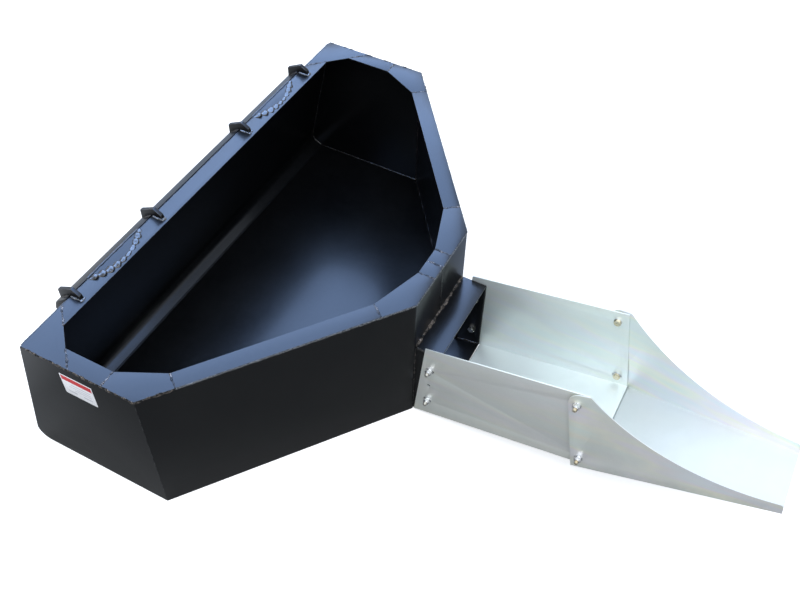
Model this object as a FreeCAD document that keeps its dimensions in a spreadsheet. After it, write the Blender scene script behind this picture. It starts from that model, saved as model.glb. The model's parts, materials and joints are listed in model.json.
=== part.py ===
"""Concrete placement bucket with a bolt-on discharge chute.

A welded sheet-steel hopper, V-shaped in plan, that a skid-steer loader carries on its quick-attach
frame. A spout on the front wall takes a U-shaped chute, and a tapered extension is bolted to that.

Row frame: +Z up, the chute points towards -Y, the loader mount faces +Y, and the hopper is symmetric
about X = 0. The origin is on the ground, under the middle of the whole assembly.

Most places are stated as a distance forward of the hopper's top back edge, which lies on the plane
Y = back_y. forward() turns such a distance into a Y coordinate.
"""
import FreeCAD, Part
import math
import os
import Sketcher
from FreeCAD import Placement, Rotation, Vector

DIMENSIONS = [
    # hopper, outside sizes
    ("back_y", 857.0),             # Y of the hopper's top back edge
    ("half_width", 762.0),         # centre plane to the end walls
    ("end_length", 358.0),         # length of each end wall at the top
    ("depth", 817.5),              # top back edge to the front wall
    ("front_half", 157.0),         # half width of the front wall
    ("height", 488.0),             # ground to the top of the rim
    ("sheet", 5.0),                # hopper sheet thickness
    ("lean_run", 108.0),           # how far the foot of the back wall lies behind its top
    ("lean_set_in", 3.0),          # rim overhang behind the back wall
    ("heel_radius", 40.0),         # rounded heel of each end wall
    ("foot_radius", 35.0),         # outside radius of the bend at the foot of the back wall
    ("foot_slope", 26.0),          # slope of the strip from that bend down to the floor, in degrees
    ("tail_forward", 57.0),        # free edge of the back sheet, where it is welded to the floor
    ("corner_bend", 8.0),          # outside radius of the bend beside the front wall
    # rim
    ("rim_width", 50.0),
    ("rim_thick", 5.0),
    ("rear_corner_leg", 154.0),
    ("side_chamfer_end", 77.0),    # opening chamfer at the side corners, along the end wall
    ("side_chamfer_diag", 79.0),   # and along the diagonal wall
    ("front_chamfer_diag", 86.0),  # opening chamfer at the front corners, along the diagonal wall
    ("front_chamfer_front", 90.0), # and along the front wall
    # discharge opening and spout
    ("opening_half", 143.5),
    ("opening_top", 290.0),
    ("spout_half", 153.5),
    ("spout_sheet", 5.0),
    ("spout_reach", 80.0),
    ("spout_top_under", 297.0),
    ("spout_top_half", 152.0),
    # chute
    ("pitch", 10.5),               # the chute's rise above the horizontal, in degrees
    ("chute_forward", 824.0),      # rear lower corner of the chute
    ("chute_lift", 4.0),
    ("chute_half", 157.0),
    ("chute_sheet", 3.0),
    ("chute_side", 305.0),
    ("chute_length", 562.0),
    ("chute_rake", 83.0),          # how far the rear edge of each side is raked back at its top
    ("chute_rake_start", 1.0),     # that edge's line, behind the lower corner
    ("chute_top_rise", 3.5),       # the top edge's mouth above its middle height, and its rear below
    ("chute_blank_over", 20.0),    # extra height of the channel before its top edge is cut
    ("chute_bend", 5.0),
    ("floor_notch", 77.0),         # the chute floor starts this far from its rear lower corner
    # spout bolts
    ("bolt_forward", 867.0),
    ("bolt_low", 82.0),
    ("bolt_high", 226.0),
    ("tilt_up", 6.0),              # how far the chute can be tilted up from rest, in degrees
    ("pivot_hole", 5.0),           # radius of the hole midway between the spout bolts
    # chute extension
    ("ext_start", 506.0),          # rear edge of the extension, along the chute
    ("ext_drop", 8.0),             # its floor lies this far under the chute's datum
    ("ext_rear_half", 168.0),
    ("ext_tip_half", 104.5),
    ("ext_length", 557.0),
    ("ext_height", 319.0),
    ("ext_arc_radius", 645.0),
    ("ext_arc_along", 592.0),
    ("ext_arc_above", 685.0),
    ("ext_shoulder", 35.0),
    ("ext_lip", 12.0),
    ("ext_bolt_along", 24.0),
    ("ext_bolt_low", 47.0),
    ("ext_bolt_high", 279.0),
    ("ext_swing", 2.0),            # swing of the extension each way, in degrees
    # fasteners, M12
    ("bolt_radius", 6.0),
    ("hole_radius", 6.75),
    ("hex_flats", 19.0),
    ("head_height", 7.5),
    ("nut_height", 12.0),
    ("washer_radius", 12.0),
    ("washer_thick", 2.5),
    ("thread_past_nut", 8.0),
    ("tip_chamfer", 1.2),
    ("collar_share", 0.28),        # share of the nut's height that is its round collar
    ("collar_set_in", 0.8),
    ("washer_play", 0.4),          # washer bore over bolt, on the radius
    ("nut_stand_off", 1.2),        # least thickness of the sloped washer
    ("washer_block", 60.0),        # size of the block that gives that washer its sloping face
    # construction
    ("cut_over", 10.0),            # how far a cutting shape passes the edge that it cuts
    ("overlap", 1.0),              # how far two joined shapes run into each other
    # loader mount
    ("mount_half", 571.5),         # half of the 1143 mm quick-attach width
    ("ear_thick", 12.0),
    ("ear_toe", 36.0),             # front end of each ear, forward of the rim's back edge
    ("ear_toe_top", 31.0),
    ("ear_toe_height", 15.0),      # height above the rim, at the toe
    ("ear_crest", 6.0),
    ("ear_crest_height", 30.0),
    ("ear_tail", 45.0),            # rear end, behind the rim's edge
    ("ear_tail_height", 4.0),
    ("inner_ear", 226.0),          # centre plane to the outer face of the inner ears
    ("lip_half", 586.0),
    ("lip_thick", 8.0),
    ("lip_upright_share", 1.27),   # the sloping lip's height for its thickness
    ("lip_gap", 6.0),
    ("lip_back", 50.0),
    ("lip_drop", 34.0),
    ("tab_inner", 285.0),
    ("tab_outer", 505.0),
    ("tab_depth", 35.0),
    ("nose_set_out", 8.0),         # outer face of each lip end plate, outside the quick-attach width
    ("nose_foot", 96.0),           # its lower and upper ends on the wall, below the rim's top
    ("nose_head", 28.0),
    ("nose_chin_back", 68.0),      # its outline from foot to lip: behind the rim's edge, and below
    ("nose_chin_low", 92.0),
    ("nose_tip_back", 72.0),
    ("nose_tip_low", 78.0),
    ("nose_brow_back", 63.0),
    ("nose_brow_low", 52.0),
    ("nose_lip_rear", 49.0),
    ("nose_lip_front", 24.0),
    ("ledge_under", 52.0),
    ("ledge_thick", 10.0),
    ("ledge_back", 156.0),
    ("slot_centre", 508.0),
    ("slot_width", 70.0),
    ("slot_near", 116.0),
    ("slot_depth", 28.0),
    ("gusset_thick", 8.0),
    ("gusset_height", 110.0),
    ("gusset_toe", 10.0),          # height of the gusset's blunt front end
    ("gusset_set_back", 4.0),      # that end, from the ledge's edge
    ("gusset_head", 12.0),         # width of its top
    # safety label on the left end wall
    ("label_near", 112.5),
    ("label_length", 104.0),
    ("label_low", 366.0),
    ("label_height", 84.0),
    ("label_thick", 0.4),
]

doc = FreeCAD.newDocument("placement_bucket")
sheet = doc.addObject("Spreadsheet::Sheet", "Dims")
for row, (alias, number) in enumerate(DIMENSIONS, start=1):
    sheet.set(f"A{row}", alias)
    sheet.set(f"B{row}", str(number))
    sheet.setAlias(f"B{row}", alias)
doc.recompute()

# Lengths worked out from the sheet, as expressions that the features are bound to.
RUN = "(Dims.half_width - Dims.front_half)"
RISE = "(Dims.depth - Dims.end_length)"
SLANT = f"sqrt({RUN}^2 + {RISE}^2)"
WALL_TOP = "(Dims.height - Dims.rim_thick)"
LEAN = "(Dims.lean_run / Dims.height)"
BACK_WALL_RUN = f"(Dims.sheet * sqrt(1 + {LEAN}^2))"
SPACING_HALF = "((Dims.bolt_high - Dims.bolt_low) / 2)"
BOLT_MIDDLE = "((Dims.bolt_high + Dims.bolt_low) / 2)"
EXT_TAPER = "((Dims.ext_rear_half - Dims.ext_tip_half) / Dims.ext_length)"
EXT_SPACING = "(Dims.ext_bolt_high - Dims.ext_bolt_low)"

# How an edge is told apart by its two ends, in millimetres.
EDGE_MATCH = 0.05       # farthest that an end may lie from the place asked for
EDGE_LEAST = 0.5        # shorter than this along its axis, it runs another way
LONG_EDGE = 100.0
SLANT_MATCH = 0.5       # as EDGE_MATCH, for the extension's tapering edges

exported = []


def number(expression):
    """The value of an expression over the sheet."""
    return float(sheet.evalExpression(expression.replace("Dims.", "")))


def forward(distance):
    """Expression for the Y of a point that lies this far forward of the hopper's top back edge."""
    return f"Dims.back_y - ({distance})"


def behind(height_expression):
    """How far the outer face of the back wall lies behind the rim's edge at a height."""
    return f"(Dims.lean_set_in + {LEAN} * (Dims.height - ({height_expression})))"


# ---- sketch and feature helpers ---------------------------------------------------------------

def origin_plane(body, role):
    for feature in body.Origin.OriginFeatures:
        if feature.Role == role:
            return feature
    raise ValueError(role)


def new_sketch(body, role, name, offset="0"):
    sketch = body.newObject("Sketcher::SketchObject", name)
    sketch.AttachmentSupport = [(origin_plane(body, role), "")]
    sketch.MapMode = "FlatFace"
    sketch.setExpression("AttachmentOffset.Base.z", offset)
    return sketch


def pin_point(sketch, geometry, end, across, up):
    """Hold one point of the sketch at two bound distances from its origin."""
    for kind, expression in (("DistanceX", across), ("DistanceY", up)):
        index = sketch.addConstraint(Sketcher.Constraint(kind, geometry, end, number(expression)))
        sketch.setExpression(f"Constraints[{index}]", expression)


def draw_polygon(sketch, outline):
    """A closed outline of straight lines. Each corner is a pair of expressions."""
    corners = [Vector(number(across), number(up), 0) for across, up in outline]
    count = len(corners)
    for index in range(count):
        sketch.addGeometry(Part.LineSegment(corners[index], corners[(index + 1) % count]), False)
    for index in range(count):
        following = (index + 1) % count
        sketch.addConstraint(Sketcher.Constraint("Coincident", index, 2, following, 1))
    for index, (across, up) in enumerate(outline):
        pin_point(sketch, index, 1, across, up)


def draw_circle(sketch, across, up, radius):
    centre = Vector(number(across), number(up), 0)
    geometry = sketch.addGeometry(Part.Circle(centre, Vector(0, 0, 1), number(radius)), False)
    pin_point(sketch, geometry, 3, across, up)
    index = sketch.addConstraint(Sketcher.Constraint("Radius", geometry, number(radius)))
    sketch.setExpression(f"Constraints[{index}]", radius)


def add_pad(body, sketch, length, midplane=False, reverse=False):
    pad = body.newObject("PartDesign::Pad", sketch.Name + "_pad")
    pad.Profile = sketch
    pad.setExpression("Length", length)
    pad.Midplane = midplane
    pad.Reversed = reverse
    sketch.Visibility = False
    return pad


def add_pocket(body, sketch):
    """Cut the sketch through everything, both ways, and make sure that it removed material."""
    doc.recompute()
    before = body.Shape.Volume
    pocket = body.newObject("PartDesign::Pocket", sketch.Name + "_pocket")
    pocket.Profile = sketch
    pocket.Type = "ThroughAll"
    pocket.Midplane = True
    sketch.Visibility = False
    doc.recompute()
    if not body.Shape.Volume < before - 1.0:
        raise ValueError(f"{body.Label}: {sketch.Name} cut nothing")
    return pocket


def add_fillet(body, radius, choose):
    """Round the straight edges of the body that choose() accepts, given their two end points."""
    doc.recompute()
    base = body.Tip
    names = []
    for index, edge in enumerate(base.Shape.Edges, start=1):
        if len(edge.Vertexes) == 2 and choose(edge.Vertexes[0].Point, edge.Vertexes[1].Point):
            names.append(f"Edge{index}")
    if not names:
        raise ValueError(f"{body.Label}: no edge to round")
    fillet = body.newObject("PartDesign::Fillet", base.Name + "_fillet")
    fillet.Base = (base, names)
    fillet.setExpression("Radius", radius)
    return fillet


def along_x_at(y_expression, z_expression):
    """Chooses edges that run along X through a place in the YZ plane."""
    y_place, z_place = number(y_expression), number(z_expression)

    def choose(first, second):
        near_y = abs(first.y - y_place) < EDGE_MATCH and abs(second.y - y_place) < EDGE_MATCH
        near_z = abs(first.z - z_place) < EDGE_MATCH and abs(second.z - z_place) < EDGE_MATCH
        return near_y and near_z and abs(first.x - second.x) > EDGE_LEAST
    return choose


def upright_at(x_expression, y_expression):
    """Chooses edges that run along Z through a place in the XY plane."""
    x_place, y_place = number(x_expression), number(y_expression)

    def choose(first, second):
        near_x = abs(first.x - x_place) < EDGE_MATCH and abs(second.x - x_place) < EDGE_MATCH
        near_y = abs(first.y - y_place) < EDGE_MATCH and abs(second.y - y_place) < EDGE_MATCH
        return near_x and near_y
    return choose


def new_body(label):
    body = doc.addObject("PartDesign::Body", label)
    body.Label = label
    exported.append(body)
    return body


def flat_plate(label, outline, under, thick):
    """A horizontal plate: an outline in X and Y, lifted to the height of its underside."""
    body = new_body(label)
    sketch = new_sketch(body, "XY_Plane", label + "_plan", under)
    draw_polygon(sketch, outline)
    add_pad(body, sketch, thick)
    return body


def upright_plate(label, outline, left_face, thick):
    """A plate square to X: an outline in Y and Z, and the X of its left face."""
    body = new_body(label)
    sketch = new_sketch(body, "YZ_Plane", label + "_side", left_face)
    draw_polygon(sketch, outline)
    add_pad(body, sketch, thick)
    return body


def left_face_of(side, outer, thick):
    """X of the left face of a plate whose outer face is this far from the centre plane."""
    return f"-({outer})" if side < 0 else f"({outer}) - ({thick})"


SIDES = (("left", -1), ("right", 1))


# ---- hopper -----------------------------------------------------------------------------------

def make_floor():
    """The floor plate, laid inside the walls, from the back sheet to the discharge opening."""
    inset = "Dims.sheet"
    diagonal_x = f"(Dims.front_half - {inset} * ({SLANT} - {RUN}) / {RISE})"
    shoulder_y = forward(f"Dims.end_length - {inset} * ({SLANT} - {RISE}) / {RUN}")
    right = [
        (f"Dims.half_width - {inset}", forward("-Dims.tail_forward")),
        (f"Dims.half_width - {inset}", shoulder_y),
        (diagonal_x, forward(f"Dims.depth - {inset}")),
    ]
    left = [(f"-({across})", along) for across, along in reversed(right)]
    flat_plate("floor_plate", right + left, "0", "Dims.sheet")


def make_back_sheet():
    """The leaning back wall, bent forward at its foot into a strip that slopes to the floor."""
    steep = "tan(Dims.foot_slope * 1deg)"
    strip_rise = "(Dims.sheet / cos(Dims.foot_slope * 1deg))"
    outer_run = f"(({behind('0')} - Dims.tail_forward) / (1 + {LEAN} * {steep}))"
    inner_run = (f"(({behind(strip_rise)} - {BACK_WALL_RUN} - Dims.tail_forward)"
                 f" / (1 + {LEAN} * {steep}))")
    outer_foot = (forward(f"-(Dims.tail_forward + {outer_run})"), f"({outer_run} * {steep})")
    inner_foot = (forward(f"-(Dims.tail_forward + {inner_run})"),
                  f"({strip_rise} + {inner_run} * {steep})")
    tail = "-Dims.tail_forward"
    outline = [
        (forward(f"-{behind(WALL_TOP)}"), WALL_TOP),
        outer_foot,
        (forward(tail), "0"),
        (forward(tail), strip_rise),
        inner_foot,
        (forward(f"-({behind(WALL_TOP)} - {BACK_WALL_RUN})"), WALL_TOP),
    ]
    body = new_body("back_sheet")
    sketch = new_sketch(body, "YZ_Plane", "back_sheet_side")
    draw_polygon(sketch, outline)
    add_pad(body, sketch, "2 * (Dims.half_width - Dims.sheet)", midplane=True)
    add_fillet(body, "Dims.foot_radius", along_x_at(*outer_foot))
    add_fillet(body, "Dims.foot_radius - Dims.sheet", along_x_at(*inner_foot))


def make_end_plate(name, side):
    """An end wall with a rounded heel, which closes the end of the back sheet."""
    outline = [
        (forward("Dims.end_length"), "0"),
        (forward(f"-{behind('0')}"), "0"),
        (forward(f"-{behind(WALL_TOP)}"), WALL_TOP),
        (forward("Dims.end_length"), WALL_TOP),
    ]
    left_face = left_face_of(side, "Dims.half_width", "Dims.sheet")
    body = upright_plate(f"end_plate_{name}", outline, left_face, "Dims.sheet")
    add_fillet(body, "Dims.heel_radius", along_x_at(forward(f"-{behind('0')}"), "0"))


def make_side_sheet(name, side):
    """A diagonal wall and half of the front wall, bent from one sheet and cut for the spout."""
    inner_end = f"(Dims.half_width - Dims.sheet * {SLANT} / {RISE})"
    inner_bend = f"(Dims.front_half - Dims.sheet * ({SLANT} - {RUN}) / {RISE})"
    outline = [
        (f"{side} * Dims.half_width", forward("Dims.end_length")),
        (f"{side} * Dims.front_half", forward("Dims.depth")),
        ("0", forward("Dims.depth")),
        ("0", forward("Dims.depth - Dims.sheet")),
        (f"{side} * {inner_bend}", forward("Dims.depth - Dims.sheet")),
        (f"{side} * {inner_end}", forward("Dims.end_length")),
    ]
    body = flat_plate(f"side_sheet_{name}", outline, "0", WALL_TOP)
    outer_bend = upright_at(f"{side} * Dims.front_half", forward("Dims.depth"))
    add_fillet(body, "Dims.corner_bend", outer_bend)
    inside_bend = upright_at(f"{side} * {inner_bend}", forward("Dims.depth - Dims.sheet"))
    add_fillet(body, "Dims.corner_bend - Dims.sheet", inside_bend)
    cut = new_sketch(body, "XZ_Plane", f"side_sheet_{name}_opening")
    past_middle = f"{-side} * Dims.cut_over"
    draw_polygon(cut, [
        (past_middle, "Dims.sheet"),
        (f"{side} * Dims.opening_half", "Dims.sheet"),
        (f"{side} * Dims.opening_half", "Dims.opening_top"),
        (past_middle, "Dims.opening_top"),
    ])
    add_pocket(body, cut)


# ---- rim --------------------------------------------------------------------------------------

def rim_point_on_diagonal(side, distance, inset):
    """A point beside the diagonal wall: a distance along it from the end wall's corner, and an
    inset square to it."""
    across = f"Dims.half_width - ({distance}) * {RUN} / {SLANT} - ({inset}) * {RISE} / {SLANT}"
    ahead = f"Dims.end_length + ({distance}) * {RISE} / {SLANT} - ({inset}) * {RUN} / {SLANT}"
    return f"{side} * ({across})", forward(ahead)


def make_rim():
    """The inward flange: thirteen flat pieces butted end to end on top of the walls."""
    width = "Dims.rim_width"
    leg = "Dims.rear_corner_leg"
    out = "Dims.half_width"
    # where the inner edges of two neighbouring strips would meet if the corner were not cut
    side_meet = f"(Dims.end_length - {width} * ({SLANT} - {RISE}) / {RUN})"
    side_meet_along = f"({width} * ({SLANT} - {RISE}) / {RUN})"
    front_meet = f"(Dims.front_half - {width} * ({SLANT} - {RUN}) / {RISE})"
    front_meet_along = f"({SLANT} - {width} * ({SLANT} - {RUN}) / {RISE})"
    end_seam = f"({side_meet} - Dims.side_chamfer_end)"
    diagonal_start = f"({side_meet_along} + Dims.side_chamfer_diag)"
    diagonal_stop = f"({front_meet_along} - Dims.front_chamfer_diag)"
    front_seam = f"({front_meet} - Dims.front_chamfer_front)"

    back = [
        (f"-({out} - {leg})", forward("0")),
        (f"{out} - {leg}", forward("0")),
        (f"{out} - {leg} + {width}", forward(width)),
        (f"-({out} - {leg} + {width})", forward(width)),
    ]
    strip = flat_plate("rim_back_strip", back, WALL_TOP, "Dims.rim_thick")
    for name, side in SIDES:
        notch = new_sketch(strip, "XY_Plane", f"tab_notch_{name}", "Dims.height")
        draw_tab(notch, side, "-10")
        add_pocket(strip, notch)

    for name, side in SIDES:
        def plate(piece, outline):
            flat_plate(f"rim_{piece}_{name}", outline, WALL_TOP, "Dims.rim_thick")
        plate("rear_corner", [
            (f"{side} * {out}", forward("0")),
            (f"{side} * {out}", forward(leg)),
            (f"{side} * ({out} - {leg})", forward("0")),
        ])
        plate("end_strip", [
            (f"{side} * {out}", forward(leg)),
            (f"{side} * ({out} - {width})", forward(f"{leg} - {width}")),
            (f"{side} * ({out} - {width})", forward(end_seam)),
            (f"{side} * {out}", forward(end_seam)),
        ])
        plate("side_corner", [
            (f"{side} * {out}", forward(end_seam)),
            (f"{side} * ({out} - {width})", forward(end_seam)),
            rim_point_on_diagonal(side, diagonal_start, width),
            rim_point_on_diagonal(side, diagonal_start, "0"),
            (f"{side} * {out}", forward("Dims.end_length")),
        ])
        plate("diagonal_strip", [
            rim_point_on_diagonal(side, diagonal_start, "0"),
            rim_point_on_diagonal(side, diagonal_start, width),
            rim_point_on_diagonal(side, diagonal_stop, width),
            rim_point_on_diagonal(side, diagonal_stop, "0"),
        ])
        plate("front_corner", [
            rim_point_on_diagonal(side, diagonal_stop, "0"),
            rim_point_on_diagonal(side, diagonal_stop, width),
            (f"{side} * {front_seam}", forward(f"Dims.depth - {width}")),
            (f"{side} * {front_seam}", forward("Dims.depth")),
            (f"{side} * Dims.front_half", forward("Dims.depth")),
        ])
        plate("front_strip", [
            (f"{side} * {front_seam}", forward("Dims.depth")),
            (f"{side} * {front_seam}", forward(f"Dims.depth - {width}")),
            ("0", forward(f"Dims.depth - {width}")),
            ("0", forward("Dims.depth")),
        ])


# ---- spout ------------------------------------------------------------------------------------

def make_spout():
    """A short square spout welded over the discharge opening. Its floor rises with the chute's."""
    mouth = "Dims.depth + Dims.spout_reach"
    inner = "(Dims.spout_half - Dims.spout_sheet)"
    rise = "(Dims.spout_reach * tan(Dims.pitch * 1deg))"
    floor_side = [
        (forward("Dims.depth"), "Dims.sheet"),
        (forward(mouth), f"Dims.sheet + {rise}"),
        (forward(mouth), f"Dims.sheet + {rise} + Dims.spout_sheet"),
        (forward("Dims.depth"), "Dims.sheet + Dims.spout_sheet"),
    ]
    upright_plate("spout_floor", floor_side, f"-{inner}", f"2 * {inner}")
    flat_plate("spout_top", [
        ("-Dims.spout_top_half", forward("Dims.depth")),
        ("Dims.spout_top_half", forward("Dims.depth")),
        ("Dims.spout_top_half", forward(mouth)),
        ("-Dims.spout_top_half", forward(mouth)),
    ], "Dims.spout_top_under", "Dims.spout_sheet")
    for name, side in SIDES:
        outline = [
            (forward("Dims.depth"), "Dims.sheet"),
            (forward("Dims.depth"), "Dims.spout_top_under"),
            (forward(mouth), "Dims.spout_top_under"),
            (forward(mouth), f"Dims.sheet + {rise}"),
        ]
        left_face = left_face_of(side, "Dims.spout_half", "Dims.spout_sheet")
        body = upright_plate(f"spout_side_{name}", outline, left_face, "Dims.spout_sheet")
        holes = new_sketch(body, "YZ_Plane", f"spout_side_{name}_holes")
        draw_circle(holes, forward("Dims.bolt_forward"), "Dims.bolt_low", "Dims.hole_radius")
        draw_circle(holes, forward("Dims.bolt_forward"), "Dims.bolt_high", "Dims.hole_radius")
        add_pocket(body, holes)


# ---- chute and extension ----------------------------------------------------------------------
# Both are drawn in the chute's own frame: its rear lower corner is the origin, -Y runs out along
# the floor and +Z is square to it. place_on_chute() then pitches them up and moves them home.

def place_on_chute(body):
    body.Placement = Placement(Vector(0, 0, 0), Rotation(Vector(1, 0, 0), -1))
    body.setExpression("Placement.Rotation.Angle", "-Dims.pitch")
    body.setExpression("Placement.Base.y", forward("Dims.chute_forward"))
    body.setExpression("Placement.Base.z", "Dims.chute_lift")


def on_chute(ahead, height_expression):
    """Along and above the chute floor, of a point given forward of the back edge and above ground."""
    ahead_of = f"(({ahead}) - Dims.chute_forward)"
    above = f"(({height_expression}) - Dims.chute_lift)"
    along = f"({ahead_of} * cos(Dims.pitch * 1deg) + {above} * sin(Dims.pitch * 1deg))"
    square = f"({above} * cos(Dims.pitch * 1deg) - {ahead_of} * sin(Dims.pitch * 1deg))"
    return along, square


def draw_slot(sketch, start, stop, radius):
    """A slot with round ends. start and stop are its end centres, as pairs of expressions."""
    first = Vector(number(start[0]), number(start[1]), 0)
    last = Vector(number(stop[0]), number(stop[1]), 0)
    size = number(radius)
    turn = math.atan2(last.y - first.y, last.x - first.x)
    normal = Vector(-math.sin(turn), math.cos(turn), 0) * size
    circles = (Part.Circle(last, Vector(0, 0, 1), size), Part.Circle(first, Vector(0, 0, 1), size))
    ends = (
        Part.ArcOfCircle(circles[0], turn - math.pi / 2, turn + math.pi / 2),
        Part.ArcOfCircle(circles[1], turn + math.pi / 2, turn + 3 * math.pi / 2),
    )
    lower = sketch.addGeometry(Part.LineSegment(first - normal, last - normal), False)
    far_end = sketch.addGeometry(ends[0], False)
    upper = sketch.addGeometry(Part.LineSegment(last + normal, first + normal), False)
    near_end = sketch.addGeometry(ends[1], False)
    for one, other in ((lower, far_end), (far_end, upper), (upper, near_end), (near_end, lower)):
        sketch.addConstraint(Sketcher.Constraint("Tangent", one, 2, other, 1))
    pin_point(sketch, far_end, 3, stop[0], stop[1])
    pin_point(sketch, near_end, 3, start[0], start[1])
    index = sketch.addConstraint(Sketcher.Constraint("Radius", far_end, size))
    sketch.setExpression(f"Constraints[{index}]", radius)


def make_chute():
    """A U channel bolted over the spout, with arc slots that let it tilt up about their middle."""
    body = new_body("chute")
    section = new_sketch(body, "XZ_Plane", "chute_section")
    thin = "Dims.chute_sheet"
    half = "Dims.chute_half"
    tall = "(Dims.chute_side + Dims.chute_blank_over)"
    draw_polygon(section, [
        (f"-{half}", "0"), (half, "0"), (half, tall), (f"{half} - {thin}", tall),
        (f"{half} - {thin}", thin), (f"-({half} - {thin})", thin),
        (f"-({half} - {thin})", tall), (f"-{half}", tall),
    ])
    add_pad(body, section, "Dims.chute_length")
    for edge_x, edge_z, radius in ((half, "0", "Dims.chute_bend"),
                                   (f"{half} - {thin}", thin, f"Dims.chute_bend - {thin}")):
        x_place, z_place = number(edge_x), number(edge_z)

        def bend_edge(first, second):
            same_x = abs(abs(first.x) - x_place) < EDGE_MATCH and abs(abs(second.x) - x_place) < EDGE_MATCH
            same_z = abs(first.z - z_place) < EDGE_MATCH and abs(second.z - z_place) < EDGE_MATCH
            return same_x and same_z and abs(first.y - second.y) > EDGE_LEAST
        add_fillet(body, radius, bend_edge)

    rake = new_sketch(body, "YZ_Plane", "chute_rear_rake")
    above = f"({tall} + Dims.cut_over)"
    draw_polygon(rake, [
        ("Dims.chute_rake_start", "0"), ("-Dims.chute_rake", "Dims.chute_side"),
        (f"-Dims.chute_rake * {above} / Dims.chute_side", above), ("Dims.chute_rake_start", above),
    ])
    add_pocket(body, rake)
    # The top edge rises slightly towards the mouth.
    top = new_sketch(body, "YZ_Plane", "chute_top_edge")
    past_mouth = "(-Dims.chute_length - Dims.cut_over)"
    draw_polygon(top, [
        ("0", "Dims.chute_side - Dims.chute_top_rise"),
        (past_mouth, "Dims.chute_side + Dims.chute_top_rise"),
        (past_mouth, above), ("0", above),
    ])
    add_pocket(body, top)
    notch = new_sketch(body, "XY_Plane", "chute_floor_notch")
    inner = f"({half} - {thin})"
    draw_polygon(notch, [
        (f"-{inner}", "Dims.cut_over"), (inner, "Dims.cut_over"),
        (inner, "-Dims.floor_notch"), (f"-{inner}", "-Dims.floor_notch"),
    ])
    add_pocket(body, notch)

    # Spout bolt slots: each runs the way its bolt moves as the chute tilts up.
    holes = new_sketch(body, "YZ_Plane", "chute_spout_holes")
    swing = "Dims.tilt_up * 1deg"
    middle_along, middle_up = on_chute("Dims.bolt_forward", BOLT_MIDDLE)
    for which in (1, -1):
        along, up = on_chute("Dims.bolt_forward", f"{BOLT_MIDDLE} + {which} * {SPACING_HALF}")
        far_along = (f"({middle_along} + ({along} - {middle_along}) * cos({swing})"
                     f" + ({up} - {middle_up}) * sin({swing}))")
        far_up = (f"({middle_up} + ({up} - {middle_up}) * cos({swing})"
                  f" - ({along} - {middle_along}) * sin({swing}))")
        draw_slot(holes, (f"-{along}", up), (f"-{far_along}", far_up), "Dims.hole_radius")
    draw_circle(holes, f"-{middle_along}", middle_up, "Dims.pivot_hole")
    add_pocket(body, holes)

    # Extension bolts: a round hole above, and below it a slot for the extension's small swing.
    ends = new_sketch(body, "YZ_Plane", "chute_extension_holes")
    bolt_along = "(Dims.ext_start + Dims.ext_bolt_along)"
    draw_circle(ends, f"-{bolt_along}", "Dims.ext_bolt_high - Dims.ext_drop", "Dims.hole_radius")
    reach = f"{EXT_SPACING} * sin(Dims.ext_swing * 1deg)"
    low = "Dims.ext_bolt_low - Dims.ext_drop"
    draw_slot(ends, (f"-({bolt_along} - {reach})", low), (f"-({bolt_along} + {reach})", low),
              "Dims.hole_radius")
    add_pocket(body, ends)
    place_on_chute(body)


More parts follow.
